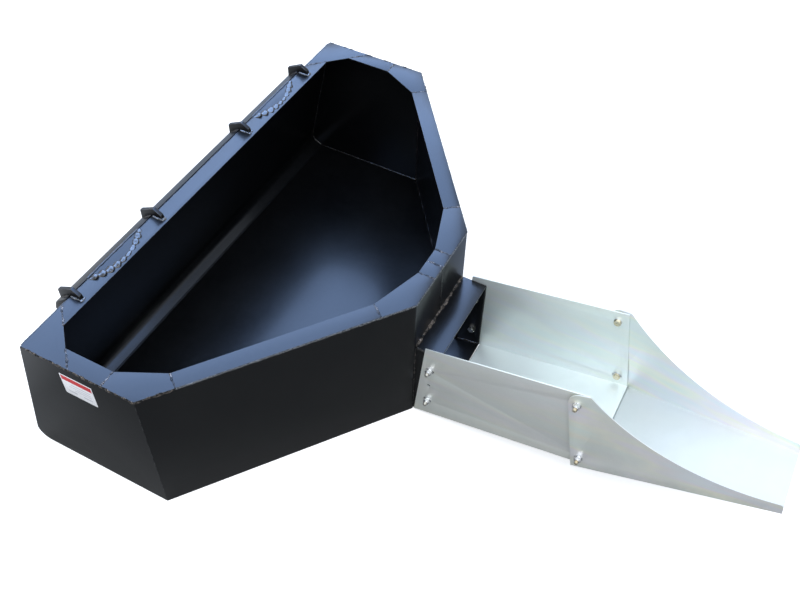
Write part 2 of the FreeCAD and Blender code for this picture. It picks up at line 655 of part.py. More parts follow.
def make_extension():
    """A U channel that narrows towards its tip, its sides swept down to a low lip."""
    body = new_body("chute_extension")
    rear = "-Dims.ext_start"
    tip = "-(Dims.ext_start + Dims.ext_length)"
    top = "Dims.ext_height - Dims.ext_drop"
    plan = new_sketch(body, "XY_Plane", "extension_plan", "-Dims.ext_drop")
    draw_polygon(plan, [
        ("-Dims.ext_rear_half", rear), ("-Dims.ext_tip_half", tip),
        ("Dims.ext_tip_half", tip), ("Dims.ext_rear_half", rear),
    ])
    add_pad(body, plan, "Dims.ext_height")
    # The side view: a rounded shoulder, one long hollow sweep and a rounded tip.
    add_fillet(body, "Dims.ext_shoulder", along_x_at(rear, top))
    sweep = new_sketch(body, "YZ_Plane", "extension_sweep")
    draw_circle(sweep, f"{rear} - Dims.ext_arc_along", "Dims.ext_arc_above - Dims.ext_drop",
                "Dims.ext_arc_radius")
    add_pocket(body, sweep)
    past_middle = "(Dims.ext_arc_along - Dims.ext_length)"
    tip_top = (f"(Dims.ext_arc_above - Dims.ext_drop"
               f" - sqrt(Dims.ext_arc_radius^2 - {past_middle}^2))")
    add_fillet(body, "Dims.ext_lip", along_x_at(tip, tip_top))
    # The trough, open at the top and at both ends.
    doc.recompute()
    trough = new_sketch(body, "XY_Plane", "extension_trough", "Dims.chute_sheet - Dims.ext_drop")
    over = "Dims.cut_over"
    thin = f"(Dims.chute_sheet * sqrt(1 + {EXT_TAPER}^2))"
    rear_inner = f"(Dims.ext_rear_half + {over} * {EXT_TAPER} - {thin})"
    tip_inner = f"(Dims.ext_tip_half - {over} * {EXT_TAPER} - {thin})"
    draw_polygon(trough, [
        (f"-{rear_inner}", f"{rear} + {over}"), (f"-{tip_inner}", f"{tip} - {over}"),
        (tip_inner, f"{tip} - {over}"), (rear_inner, f"{rear} + {over}"),
    ])
    cut = body.newObject("PartDesign::Pocket", "extension_trough_pocket")
    cut.Profile = trough
    cut.Type = "ThroughAll"
    cut.Reversed = True
    trough.Visibility = False

    def long_bottom_edge(level, half_rear):
        level_value, half_value = number(level), number(half_rear)

        def choose(first, second):
            low = abs(first.z - level_value) < EDGE_MATCH and abs(second.z - level_value) < EDGE_MATCH
            widest = max(abs(first.x), abs(second.x))
            along = abs(first.y - second.y) > LONG_EDGE
            return low and along and abs(widest - half_value) < SLANT_MATCH
        return choose
    add_fillet(body, "Dims.chute_bend", long_bottom_edge("-Dims.ext_drop", "Dims.ext_rear_half"))
    inner_edge = long_bottom_edge("Dims.chute_sheet - Dims.ext_drop",
                                  f"Dims.ext_rear_half - {thin}")
    add_fillet(body, "Dims.chute_bend - Dims.chute_sheet", inner_edge)
    holes = new_sketch(body, "YZ_Plane", "extension_holes")
    for level in ("Dims.ext_bolt_low", "Dims.ext_bolt_high"):
        draw_circle(holes, f"{rear} - Dims.ext_bolt_along", f"{level} - Dims.ext_drop",
                    "Dims.hole_radius")
    add_pocket(body, holes)
    place_on_chute(body)


# ---- fasteners --------------------------------------------------------------------------------

def hexagon(name, centre, across_flats, start_x, length, side):
    """A hexagonal prism along X, from start_x outward. side is -1 or 1."""
    prism = doc.addObject("Part::Prism", name)
    prism.Polygon = 6
    prism.setExpression("Circumradius", f"({across_flats}) / sqrt(3)")
    prism.setExpression("Height", length)
    set_along_x(prism, centre, start_x, side)
    return prism


def rod(name, centre, radius, start_x, length, side):
    """A round bar along X, from start_x outward. side is -1 or 1."""
    bar = doc.addObject("Part::Cylinder", name)
    bar.setExpression("Radius", radius)
    bar.setExpression("Height", length)
    set_along_x(bar, centre, start_x, side)
    return bar


def set_along_x(solid, centre, start_x, side):
    solid.Placement = Placement(Vector(0, 0, 0), Rotation(Vector(0, 1, 0), 90 * side))
    solid.setExpression("Placement.Base.x", f"{side} * ({start_x})")
    solid.setExpression("Placement.Base.y", centre[0])
    solid.setExpression("Placement.Base.z", centre[1])


def fused(name, solids):
    joined = doc.addObject("Part::MultiFuse", name)
    joined.Shapes = solids
    return joined


def group(label, solids):
    """Several separate solids that share one node."""
    together = doc.addObject("Part::Compound", label)
    together.Label = label
    together.Links = solids
    exported.append(together)
    return together


def ring(name, centre, inner, outer, start_x, length, side):
    """A washer along X."""
    body = rod(name + "_disc", centre, outer, start_x, length, side)
    hole = rod(name + "_hole", centre, inner, f"({start_x}) - Dims.overlap",
               f"({length}) + 2 * Dims.overlap", side)
    washer = doc.addObject("Part::Cut", name)
    washer.Base = body
    washer.Tool = hole
    return washer


def make_bolt(name, centre, head_face, nut_face, side):
    """A hex bolt whose head bears on head_face, its tip past a nut that bears on nut_face."""
    head = hexagon(name + "_head", centre, "Dims.hex_flats", f"({head_face}) - Dims.head_height",
                   "Dims.head_height", side)
    length = f"({nut_face}) - ({head_face}) + Dims.nut_height + Dims.thread_past_nut"
    shank = rod(name + "_shank", centre, "Dims.bolt_radius", f"({head_face}) - Dims.overlap",
                f"{length} + Dims.overlap", side)
    tip = doc.addObject("Part::Chamfer", name + "_tip")
    tip.Base = shank
    doc.recompute()
    outer_edge = max(range(len(shank.Shape.Edges)),
                     key=lambda index: side * shank.Shape.Edges[index].BoundBox.Center.x
                     if shank.Shape.Edges[index].Closed else -1e9)
    chamfer = number("Dims.tip_chamfer")
    tip.Edges = [(outer_edge + 1, chamfer, chamfer)]
    shank.Visibility = False
    return fused(name, [head, tip])


def make_nut(name, centre, face, side):
    """A hex nut bored to the bolt, with the rounded collar of a locking nut."""
    hex_height = "(Dims.nut_height * (1 - Dims.collar_share))"
    blank = hexagon(name + "_blank", centre, "Dims.hex_flats", face, hex_height, side)
    collar = rod(name + "_collar", centre, "Dims.hex_flats / 2 - Dims.collar_set_in",
                 f"({face}) + {hex_height}", "Dims.nut_height * Dims.collar_share", side)
    bore = rod(name + "_bore", centre, "Dims.bolt_radius", f"({face}) - Dims.overlap",
               "Dims.nut_height + 2 * Dims.overlap", side)
    nut = doc.addObject("Part::Cut", name)
    nut.Base = fused(name + "_outside", [blank, collar])
    nut.Tool = bore
    return nut


def spout_bolt_centre(level):
    return forward("Dims.bolt_forward"), level


def extension_bolt_centre(level):
    """Y and Z of an extension bolt in the row frame."""
    along = "(Dims.ext_start + Dims.ext_bolt_along)"
    above = f"({level} - Dims.ext_drop)"
    ahead = f"({along} * cos(Dims.pitch * 1deg) - {above} * sin(Dims.pitch * 1deg))"
    lift = f"({along} * sin(Dims.pitch * 1deg) + {above} * cos(Dims.pitch * 1deg))"
    return forward(f"Dims.chute_forward + {ahead}"), f"Dims.chute_lift + {lift}"


def make_spout_fasteners():
    bolts, washers, nuts = [], [], []
    inner = "(Dims.spout_half - Dims.spout_sheet)"
    nut_face = "(Dims.chute_half + Dims.washer_thick)"
    for name, side in SIDES:
        for place, level in (("low", "Dims.bolt_low"), ("high", "Dims.bolt_high")):
            centre = spout_bolt_centre(level)
            tag = f"spout_{place}_{name}"
            bolts.append(make_bolt(tag + "_bolt", centre, inner, nut_face, side))
            washers.append(ring(tag + "_washer", centre, "Dims.bolt_radius + Dims.washer_play",
                                "Dims.washer_radius", "Dims.chute_half", "Dims.washer_thick", side))
            nuts.append(make_nut(tag + "_nut", centre, nut_face, side))
    group("spout_bolts", bolts)
    group("spout_washers", washers)
    group("spout_nuts", nuts)


def make_extension_fasteners():
    bolts, washers, nuts = [], [], []
    head_face = "(Dims.chute_half - Dims.chute_sheet - Dims.washer_thick)"
    panel = f"(Dims.ext_rear_half - Dims.ext_bolt_along * {EXT_TAPER})"
    nut_face = f"({panel} + Dims.washer_radius * {EXT_TAPER} + Dims.nut_stand_off)"
    slope = number(f"atan({EXT_TAPER}) / 1deg")
    for name, side in SIDES:
        for place, level in (("low", "Dims.ext_bolt_low"), ("high", "Dims.ext_bolt_high")):
            centre = extension_bolt_centre(level)
            tag = f"extension_{place}_{name}"
            bolts.append(make_bolt(tag + "_bolt", centre, head_face, nut_face, side))
            nuts.append(make_nut(tag + "_nut", centre, nut_face, side))
            washers.append(ring(tag + "_inner_washer", centre, "Dims.bolt_radius + Dims.washer_play",
                                "Dims.washer_radius", head_face, "Dims.washer_thick", side))
            washers.append(sloped_washer(tag + "_washer", centre, panel, nut_face, slope, side))
    group("extension_bolts", bolts)
    group("extension_washers", washers)
    group("extension_nuts", nuts)


def sloped_washer(name, centre, panel, nut_face, slope, side):
    """A washer that fills the wedge between the extension's sloping side and the nut."""
    blank = ring(name + "_blank", centre, "Dims.bolt_radius + Dims.washer_play", "Dims.washer_radius",
                 f"{panel} - Dims.cut_over", f"{nut_face} - {panel} + Dims.cut_over", side)
    # A block whose near face is the outer face of the extension's side.
    reach = number("Dims.washer_block")
    block = doc.addObject("Part::Box", name + "_block")
    block.Length = reach
    block.Width = reach
    block.Height = reach
    bolt_y, bolt_z = number(centre[0]), number(centre[1])
    pitch = Rotation(Vector(1, 0, 0), -number("Dims.pitch"))
    turn = pitch.multiply(Rotation(Vector(0, 0, 1), -side * slope))
    corner = turn.multVec(Vector(-reach if side > 0 else 0, -reach / 2, -reach / 2))
    place = Vector(side * number(panel), bolt_y, bolt_z)
    block.Placement = Placement(place + corner, turn)
    washer = doc.addObject("Part::Cut", name)
    washer.Base = blank
    washer.Tool = block
    return washer


# ---- loader mount -----------------------------------------------------------------------------

def draw_tab(sketch, side, back):
    """The plan of a tab: straight sides and back, and a shallow arc where it is let into the rim."""
    chord_half = "((Dims.tab_outer - Dims.tab_inner) / 2)"
    radius = f"(({chord_half}^2 + Dims.tab_depth^2) / (2 * Dims.tab_depth))"
    centre = (f"{side} * (Dims.tab_inner + Dims.tab_outer) / 2",
              forward(f"Dims.tab_depth - {radius}"))
    low_x = "Dims.tab_inner" if side > 0 else "-Dims.tab_outer"
    high_x = "Dims.tab_outer" if side > 0 else "-Dims.tab_inner"
    middle = Vector(number(centre[0]), number(centre[1]), 0)
    edge_y, back_y = number(forward("0")), number(forward(back))
    start = Vector(number(low_x), edge_y, 0)
    stop = Vector(number(high_x), edge_y, 0)
    back_stop = Vector(stop.x, back_y, 0)
    back_start = Vector(start.x, back_y, 0)
    start_turn = math.atan2(start.y - middle.y, start.x - middle.x)
    stop_turn = math.atan2(stop.y - middle.y, stop.x - middle.x)
    circle = Part.Circle(middle, Vector(0, 0, 1), number(radius))
    arc = sketch.addGeometry(Part.ArcOfCircle(circle, start_turn, stop_turn), False)
    right = sketch.addGeometry(Part.LineSegment(stop, back_stop), False)
    rear = sketch.addGeometry(Part.LineSegment(back_stop, back_start), False)
    left = sketch.addGeometry(Part.LineSegment(back_start, start), False)
    for one, other in ((arc, right), (right, rear), (rear, left), (left, arc)):
        sketch.addConstraint(Sketcher.Constraint("Coincident", one, 2, other, 1))
    pin_point(sketch, rear, 1, high_x, forward(back))
    pin_point(sketch, rear, 2, low_x, forward(back))
    pin_point(sketch, arc, 1, low_x, forward("0"))
    pin_point(sketch, arc, 2, high_x, forward("0"))
    index = sketch.addConstraint(Sketcher.Constraint("Radius", arc, number(radius)))
    sketch.setExpression(f"Constraints[{index}]", radius)


def make_mount():
    """The parts that a loader's quick-attach frame hooks into and locks on."""
    make_lip()
    for name, side in SIDES:
        make_ear(f"mount_ear_outer_{name}", side, "Dims.mount_half")
        make_ear(f"mount_ear_inner_{name}", side, "Dims.inner_ear")
        make_lip_end(name, side)
        tab = new_body(f"mount_tab_{name}")
        plan = new_sketch(tab, "XY_Plane", f"mount_tab_{name}_plan", WALL_TOP)
        draw_tab(plan, side, "-Dims.lip_gap")
        add_pad(tab, plan, "Dims.rim_thick")
    make_ledge()


def lip_height(behind_edge):
    """Height of the lip's top face at a distance behind the rim's edge."""
    slope = "(Dims.lip_drop / (Dims.lip_back - Dims.lip_gap))"
    return f"(Dims.height - {slope} * (({behind_edge}) - Dims.lip_gap))"


def make_lip():
    """The sloping hook that the top of the loader's frame slides under."""
    under = "Dims.lip_thick * Dims.lip_upright_share"
    outline = [
        (forward("-Dims.lip_gap"), "Dims.height"),
        (forward("-Dims.lip_back"), "Dims.height - Dims.lip_drop"),
        (forward("-Dims.lip_back"), f"Dims.height - Dims.lip_drop - {under}"),
        (forward("-Dims.lip_gap"), f"Dims.height - {under}"),
    ]
    body = new_body("mount_lip")
    sketch = new_sketch(body, "YZ_Plane", "mount_lip_side")
    draw_polygon(sketch, outline)
    add_pad(body, sketch, "2 * Dims.lip_half", midplane=True)


def make_ear(label, side, outer):
    """A gusset that ties the lip to the rim. It stands on both and bridges the gap."""
    outline = [
        (forward("Dims.ear_toe"), "Dims.height"),
        (forward("Dims.ear_toe_top"), "Dims.height + Dims.ear_toe_height"),
        (forward("Dims.ear_crest"), "Dims.height + Dims.ear_crest_height"),
        (forward("-Dims.ear_tail"), "Dims.height + Dims.ear_tail_height"),
        (forward("-Dims.ear_tail"), lip_height("Dims.ear_tail")),
        (forward("-Dims.lip_gap"), "Dims.height"),
    ]
    upright_plate(label, outline, left_face_of(side, outer, "Dims.ear_thick"), "Dims.ear_thick")


def make_lip_end(name, side):
    """A nose plate that closes each end of the lip from below and ties it to the back wall."""
    under = "Dims.lip_thick * Dims.lip_upright_share"
    low = "Dims.height - Dims.nose_foot"
    high = "Dims.height - Dims.nose_head"
    outline = [
        (forward(f"-{behind(low)}"), low),
        (forward("-Dims.nose_chin_back"), "Dims.height - Dims.nose_chin_low"),
        (forward("-Dims.nose_tip_back"), "Dims.height - Dims.nose_tip_low"),
        (forward("-Dims.nose_brow_back"), "Dims.height - Dims.nose_brow_low"),
        (forward("-Dims.nose_lip_rear"), f"{lip_height('Dims.nose_lip_rear')} - {under}"),
        (forward("-Dims.nose_lip_front"), f"{lip_height('Dims.nose_lip_front')} - {under}"),
        (forward(f"-{behind(high)}"), high),
    ]
    outer = "Dims.mount_half + Dims.nose_set_out"
    left_face = left_face_of(side, outer, "Dims.gusset_thick")
    upright_plate(f"mount_lip_end_{name}", outline, left_face, "Dims.gusset_thick")


def make_ledge():
    """The shelf low on the back wall that the loader's two wedge pins lock through."""
    top = "(Dims.ledge_under + Dims.ledge_thick)"
    body = new_body("mount_ledge")
    side_view = new_sketch(body, "YZ_Plane", "mount_ledge_side")
    draw_polygon(side_view, [
        (forward(f"-{behind('Dims.ledge_under')}"), "Dims.ledge_under"),
        (forward("-Dims.ledge_back"), "Dims.ledge_under"),
        (forward("-Dims.ledge_back"), top),
        (forward(f"-{behind(top)}"), top),
    ])
    add_pad(body, side_view, "2 * Dims.mount_half", midplane=True)
    slots = new_sketch(body, "XY_Plane", "mount_ledge_slots")
    for side in (-1, 1):
        near = f"{side} * (Dims.slot_centre - Dims.slot_width / 2)"
        far = f"{side} * (Dims.slot_centre + Dims.slot_width / 2)"
        front = forward("-Dims.slot_near")
        back = forward("-(Dims.slot_near + Dims.slot_depth)")
        corners = [(near, front), (far, front), (far, back), (near, back)]
        draw_rectangle(slots, corners)
    add_pocket(body, slots)
    for name, side in SIDES:
        for place, outer in (("outer", "Dims.mount_half"), ("inner", "Dims.inner_ear")):
            make_gusset(f"ledge_gusset_{place}_{name}", side, outer)


def draw_rectangle(sketch, corners):
    """A closed outline added after others in the same sketch."""
    points = [Vector(number(across), number(up), 0) for across, up in corners]
    lines = [sketch.addGeometry(Part.LineSegment(points[index], points[(index + 1) % 4]), False)
             for index in range(4)]
    for index in range(4):
        following = lines[(index + 1) % 4]
        sketch.addConstraint(Sketcher.Constraint("Coincident", lines[index], 2, following, 1))
        pin_point(sketch, lines[index], 1, corners[index][0], corners[index][1])


def make_gusset(label, side, outer):
    """A triangular web above the ledge, square to the back wall's width."""
    low = "(Dims.ledge_under + Dims.ledge_thick)"
    high = f"({low} + Dims.gusset_height)"
    toe = forward("-(Dims.ledge_back - Dims.gusset_set_back)")
    outline = [
        (forward(f"-{behind(low)}"), low),
        (toe, low),
        (toe, f"{low} + Dims.gusset_toe"),
        (forward(f"-({behind(high)} + Dims.gusset_head)"), high),
        (forward(f"-{behind(high)}"), high),
    ]
    left_face = left_face_of(side, outer, "Dims.gusset_thick")
    upright_plate(label, outline, left_face, "Dims.gusset_thick")


def make_label():
    """A thin safety label on the outside of the left end wall."""
    near = "Dims.label_near"
    far = "(Dims.label_near + Dims.label_length)"
    high = "(Dims.label_low + Dims.label_height)"
    outline = [(forward(near), "Dims.label_low"), (forward(far), "Dims.label_low"),
               (forward(far), high), (forward(near), high)]
    upright_plate("safety_label", outline, "-(Dims.half_width + Dims.label_thick)",
                  "Dims.label_thick")


# ---- build, check and export ------------------------------------------------------------------

make_floor()
make_back_sheet()
for side_name, side_sign in SIDES:
    make_end_plate(side_name, side_sign)
    make_side_sheet(side_name, side_sign)
make_rim()
make_spout()
make_mount()
make_label()
make_chute()
make_extension()
make_spout_fasteners()
make_extension_fasteners()
doc.recompute()

for item in doc.Objects:
    if "Invalid" in item.State or "Error" in item.State:
        raise RuntimeError(f"{item.Label}: {item.State}")
os.makedirs("parts", exist_ok=True)
for item in exported:
    shape = item.Shape
    if shape.isNull() or not shape.isValid():
        raise RuntimeError(f"{item.Label}: bad shape")
    shape.exportStep(os.path.join("parts", item.Label + ".step"))
    box = shape.BoundBox
    print(f"{item.Label:28s} solids {len(shape.Solids)}  volume {shape.Volume / 1000:9.1f} cm3"
          f"  x {box.XMin:8.1f} {box.XMax:8.1f}  y {box.YMin:8.1f} {box.YMax:8.1f}"
          f"  z {box.ZMin:7.1f} {box.ZMax:7.1f}")
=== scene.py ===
# %% [markdown]
# # A steel material hopper with a bolt-on discharge chute
#
# The real object is a loader attachment: a wide hopper welded from 5 mm plate
# and sprayed black, with a short square spout at its front. A zinc-plated
# chute is bolted to the spout, and a tapering extension to the chute.
# The CAD frame gives every sheet, its place and its holes. This lesson adds
# what a workshop adds: dressed edges, weld beads, threads, paint, zinc bloom.
#
# Everything is in metres. X runs across the hopper, the chute points to -Y,
# and Z is up. A short length in millimetres is written as a number times MM.

# %% Load the frame and the libraries
import json
import math

import bpy
import numpy as np
from mathutils import Matrix, Vector


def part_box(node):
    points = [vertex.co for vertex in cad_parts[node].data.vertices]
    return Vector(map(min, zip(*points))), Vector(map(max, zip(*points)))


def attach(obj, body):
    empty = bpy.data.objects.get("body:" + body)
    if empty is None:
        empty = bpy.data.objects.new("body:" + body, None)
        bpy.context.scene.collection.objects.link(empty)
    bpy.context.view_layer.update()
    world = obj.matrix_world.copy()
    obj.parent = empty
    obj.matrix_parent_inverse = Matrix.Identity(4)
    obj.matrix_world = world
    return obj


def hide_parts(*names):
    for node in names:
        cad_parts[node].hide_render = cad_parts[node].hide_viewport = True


MM = 0.001
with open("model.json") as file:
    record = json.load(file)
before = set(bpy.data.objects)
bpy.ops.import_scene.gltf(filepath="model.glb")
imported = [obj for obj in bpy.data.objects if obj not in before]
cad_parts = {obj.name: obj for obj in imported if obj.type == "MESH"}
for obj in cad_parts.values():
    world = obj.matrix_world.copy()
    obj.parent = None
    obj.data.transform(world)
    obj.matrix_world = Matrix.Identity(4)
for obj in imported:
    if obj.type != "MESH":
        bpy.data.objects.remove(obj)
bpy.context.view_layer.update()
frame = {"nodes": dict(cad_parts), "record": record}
cad_nodes = frame["nodes"]
body_of = {node: body
           for body, members in frame["record"]["behaviour"]["bodies"].items()
           for node in members}

# %% [markdown]
# ## Camera
#
# The camera looks down on the hopper from the left front, about 49 degrees
# above the ground, so the open top, the left end and the inside of the chute
# all show. Its three axes are worked out from the viewing angles, with a small
# roll for a hand-held shot, instead of a Track To constraint, because plain
# numbers stay the same when another view moves the camera.

# %% Place the camera
VIEW_AZIMUTH = math.radians(-63.74)
VIEW_ELEVATION = math.radians(49.01)
VIEW_ROLL = math.radians(1.97)
CAMERA_AT = Vector((-1.6078, -0.6494, 2.3928))
LENS_MM = 42.2
LENS_SHIFT = (-0.0103, -0.0114)

towards_camera = Vector((math.sin(VIEW_AZIMUTH) * math.cos(VIEW_ELEVATION),
                         -math.cos(VIEW_AZIMUTH) * math.cos(VIEW_ELEVATION),
                         math.sin(VIEW_ELEVATION)))
level_right = Vector((0, 0, 1)).cross(towards_camera).normalized()
level_up = towards_camera.cross(level_right)
camera_right = math.cos(VIEW_ROLL) * level_right + math.sin(VIEW_ROLL) * level_up
camera_up = math.cos(VIEW_ROLL) * level_up - math.sin(VIEW_ROLL) * level_right

bpy.ops.object.select_all(action="DESELECT")
bpy.ops.object.camera_add(location=CAMERA_AT)
camera = bpy.context.object
camera.name = "camera"
turn = Matrix((camera_right, camera_up, towards_camera)).transposed()
camera.rotation_euler = turn.to_euler()
camera.data.lens = LENS_MM
camera.data.shift_x, camera.data.shift_y = LENS_SHIFT
camera.data.clip_end = 60
camera.data.dof.use_dof = False
bpy.context.scene.camera = camera
print("camera at", [round(c, 3) for c in camera.location])

# %% [markdown]
# ## Small helpers for working as by hand
#
# Blender's mesh operators act on what is selected, and in the mode that is
# open. These helpers deselect everything, pick one piece, and select faces or
# points by a test on their place. That is what the mouse does in a window, and
# it keeps each modelling cell short.

# %% Selecting and picking


def clear_selection():
    if bpy.context.object and bpy.context.object.mode != "OBJECT":
        bpy.ops.object.mode_set(mode="OBJECT")
    bpy.ops.object.select_all(action="DESELECT")


def pick(piece):
    clear_selection()
    piece.select_set(True)
    bpy.context.view_layer.objects.active = piece
    return piece


def points_of(mesh):
    flat = np.empty(len(mesh.vertices) * 3)
    mesh.vertices.foreach_get("co", flat)
    return flat.reshape(-1, 3)


def move_points(mesh, points):
    mesh.vertices.foreach_set("co", np.ascontiguousarray(points).ravel())
    mesh.update()


def open_for_editing(piece, kind="VERT"):
    pick(piece)
    bpy.ops.object.mode_set(mode="EDIT")
    bpy.ops.mesh.select_mode(type=kind)
    bpy.ops.mesh.select_all(action="DESELECT")


def select_where(piece, kind, test):
    """Edit mode: selects the points, edges or faces whose middle passes the test."""
    open_for_editing(piece, kind)
    bpy.ops.object.mode_set(mode="OBJECT")
    mesh = piece.data
    if kind == "VERT":
        for point in mesh.vertices:
            point.select = bool(test(point.co))
    elif kind == "EDGE":
        for edge in mesh.edges:
            ends = [mesh.vertices[i].co for i in edge.vertices]
            edge.select = bool(test(ends[0]) and test(ends[1]))
    else:
        for face in mesh.polygons:
            face.select = bool(test(face.center))
    bpy.ops.object.mode_set(mode="EDIT")


def finish_modifiers(piece):
    pick(piece)
    for modifier in list(piece.modifiers):
        bpy.ops.object.modifier_apply(modifier=modifier.name)


def settle(piece):
    """Puts the object at the origin, unturned and unscaled, with its place in its mesh."""
    pick(piece)
    bpy.ops.object.transform_apply(location=True, rotation=True, scale=True)


def join_all(pieces, name):
    pick(pieces[0])
    for other in pieces[1:]:
        other.select_set(True)
    if len(pieces) > 1:
        bpy.ops.object.join()
    joined = bpy.context.object
    joined.name = name
    joined.data.name = name
    return joined


def face_outwards(piece):
    open_for_editing(piece)
    bpy.ops.mesh.select_all(action="SELECT")
    bpy.ops.mesh.normals_make_consistent(inside=False)
    bpy.ops.object.mode_set(mode="OBJECT")


def copy_of(piece, name):
    twin = bpy.data.objects.new(name, piece.data.copy())
    bpy.context.scene.collection.objects.link(twin)
    return twin


def smooth(piece, degrees=35):
    pick(piece)
    bpy.ops.object.shade_smooth_by_angle(angle=math.radians(degrees))


pieces_made = []
pieces_of_slot = {}


def hand_over(piece, body, slot, material, *stands_for):
    """Gives a finished piece its material, body and slot, and hides the CAD nodes it stands for."""
    piece.data.materials.clear()
    piece.data.materials.append(material)
    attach(piece, body)
    if stands_for:
        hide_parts(*stands_for)
    pieces_made.append(piece)
    pieces_of_slot.setdefault(slot, []).append(piece)


print("helpers ready")

# %% [markdown]
# ## Building node trees
#
# A material is a tree of nodes. One helper adds a node, sets its options and
# fills its inputs with numbers or with wires from other nodes, so a tree reads
# from top to bottom. Another opens a node group with named inputs and outputs,
# for an effect that several materials share.

# %% Node helpers


def fill_inputs(tree, made, inputs):
    for socket, value in inputs.items():
        if isinstance(value, bpy.types.NodeSocket):
            tree.links.new(value, made.inputs[socket])
        else:
            made.inputs[socket].default_value = value
    return made


def add(tree, kind, inputs=None, **options):
    made = tree.nodes.new("ShaderNode" + kind)
    for name, value in options.items():
        setattr(made, name, value)
    return fill_inputs(tree, made, inputs or {})


def maths(tree, operation, first, second=0.0, clamp=False):
    return add(tree, "Math", {0: first, 1: second},
               operation=operation, use_clamp=clamp).outputs[0]


MIX_FACTOR, MIX_A, MIX_B, MIX_RESULT = 0, 6, 7, 2


def blend_colours(tree, factor, first, second, mode="MIX"):
    made = add(tree, "Mix", {MIX_FACTOR: factor, MIX_A: first, MIX_B: second},
               data_type="RGBA", blend_type=mode)
    return made.outputs[MIX_RESULT]


def stretch_range(tree, value, low, high, to_low=0.0, to_high=1.0):
    return add(tree, "MapRange", {"Value": value, "From Min": low, "From Max": high,
                                  "To Min": to_low, "To Max": to_high}).outputs["Result"]


def noise(tree, place, scale, detail=3.0, roughness=0.5):
    return add(tree, "TexNoise", {"Vector": place, "Scale": scale, "Detail": detail,
                                  "Roughness": roughness}).outputs[0]


def new_group(name, inputs, outputs):
    tree = bpy.data.node_groups.new(name, "ShaderNodeTree")
    for title, kind, value in inputs:
        socket = tree.interface.new_socket(title, in_out="INPUT", socket_type=kind)
        if value is not None:
            socket.default_value = value
    for title, kind in outputs:
        tree.interface.new_socket(title, in_out="OUTPUT", socket_type=kind)
    return tree, tree.nodes.new("NodeGroupInput"), tree.nodes.new("NodeGroupOutput")


def use_group(tree, group, inputs):
    made = tree.nodes.new("ShaderNodeGroup")
    made.node_tree = group
    return fill_inputs(tree, made, inputs)


FLOAT, VECTOR = "NodeSocketFloat", "NodeSocketVector"

# %% [markdown]
# ## Shared effect: orange peel and rolled plate
#
# Sprayed paint dries with a fine pebbled skin, and the plate under it is never
# quite flat. Both are heights, not colours. They could be modelled, but at a
# tenth of a millimetre a bump from two noises does it for every sheet at once.

# %% Group: surface height
skin_group, skin_in, skin_out = new_group(
    "sheet_skin",
    [("Place", VECTOR, None), ("Pebble Scale", FLOAT, 420.0), ("Pebble Height", FLOAT, 0.25),
     ("Wave Scale", FLOAT, 9.0), ("Wave Height", FLOAT, 1.0)],
    [("Height", FLOAT)])
pebbles = noise(skin_group, skin_in.outputs["Place"], skin_in.outputs["Pebble Scale"], 2.0)
waves = noise(skin_group, skin_in.outputs["Place"], skin_in.outputs["Wave Scale"], 1.0)
skin_group.links.new(
    maths(skin_group, "ADD",
          maths(skin_group, "MULTIPLY", pebbles, skin_in.outputs["Pebble Height"]),
          maths(skin_group, "MULTIPLY", waves, skin_in.outputs["Wave Height"])),
    skin_out.inputs["Height"])
print("group", skin_group.name)

# %% [markdown]
# ## Shared effect: clouds
#
# Paint haze and zinc both vary in soft patches a hand wide, with smaller
# patches inside. One noise bends the place that a second noise reads, which
# gives drifting, liquid-looking edges instead of round blobs.

# %% Group: drifting clouds
cloud_group, cloud_in, cloud_out = new_group(
    "drifting_clouds",
    [("Place", VECTOR, None), ("Scale", FLOAT, 8.0), ("Drift", FLOAT, 0.06),
     ("Low", FLOAT, 0.35), ("High", FLOAT, 0.68)],
    [("Mask", FLOAT)])
drift = add(cloud_group, "TexNoise", {"Vector": cloud_in.outputs["Place"],
                                      "Scale": cloud_in.outputs["Scale"], "Detail": 1.0})
drift_way = add(cloud_group, "VectorMath", {0: drift.outputs["Color"], 1: (0.5, 0.5, 0.5)},
                operation="SUBTRACT")
drift_step = add(cloud_group, "VectorMath", {0: drift_way.outputs[0]}, operation="SCALE")
cloud_group.links.new(cloud_in.outputs["Drift"], drift_step.inputs["Scale"])
bent_place = add(cloud_group, "VectorMath",
                 {0: cloud_in.outputs["Place"], 1: drift_step.outputs[0]}, operation="ADD")
patches = noise(cloud_group, bent_place.outputs[0], cloud_in.outputs["Scale"], 4.0, 0.55)
cloud_range = add(cloud_group, "MapRange", {"Value": patches})
cloud_group.links.new(cloud_in.outputs["Low"], cloud_range.inputs["From Min"])
cloud_group.links.new(cloud_in.outputs["High"], cloud_range.inputs["From Max"])
cloud_group.links.new(cloud_range.outputs["Result"], cloud_out.inputs["Mask"])
print("group", cloud_group.name)

# %% [markdown]
# ## Shared effect: rubbed edges
#
# Paint pulls thin over an edge and rubs there first. The softened pieces carry
# an attribute named "edge" that is 1 on their rounded edges, so the mask
# follows the real shape. A noise breaks it up, because no edge wears evenly.

# %% Group: rubbed edges
rub_group, rub_in, rub_out = new_group(
    "rubbed_edges",
    [("Place", VECTOR, None), ("Edge", FLOAT, 0.0), ("Scale", FLOAT, 90.0),
     ("Amount", FLOAT, 0.5)],
    [("Mask", FLOAT)])
broken = stretch_range(rub_group,
                       noise(rub_group, rub_in.outputs["Place"], rub_in.outputs["Scale"], 4.0),
                       0.42, 0.62)
rub_group.links.new(
    maths(rub_group, "MULTIPLY",
          maths(rub_group, "MULTIPLY", rub_in.outputs["Edge"], broken),
          rub_in.outputs["Amount"]),
    rub_out.inputs["Mask"])
print("group", rub_group.name)

# %% [markdown]
# ## Shared effect: settled dust
#
# A little workshop dust lies on faces that look up, and none on walls. The
# mask takes the height of the surface normal and breaks it with a fine noise.

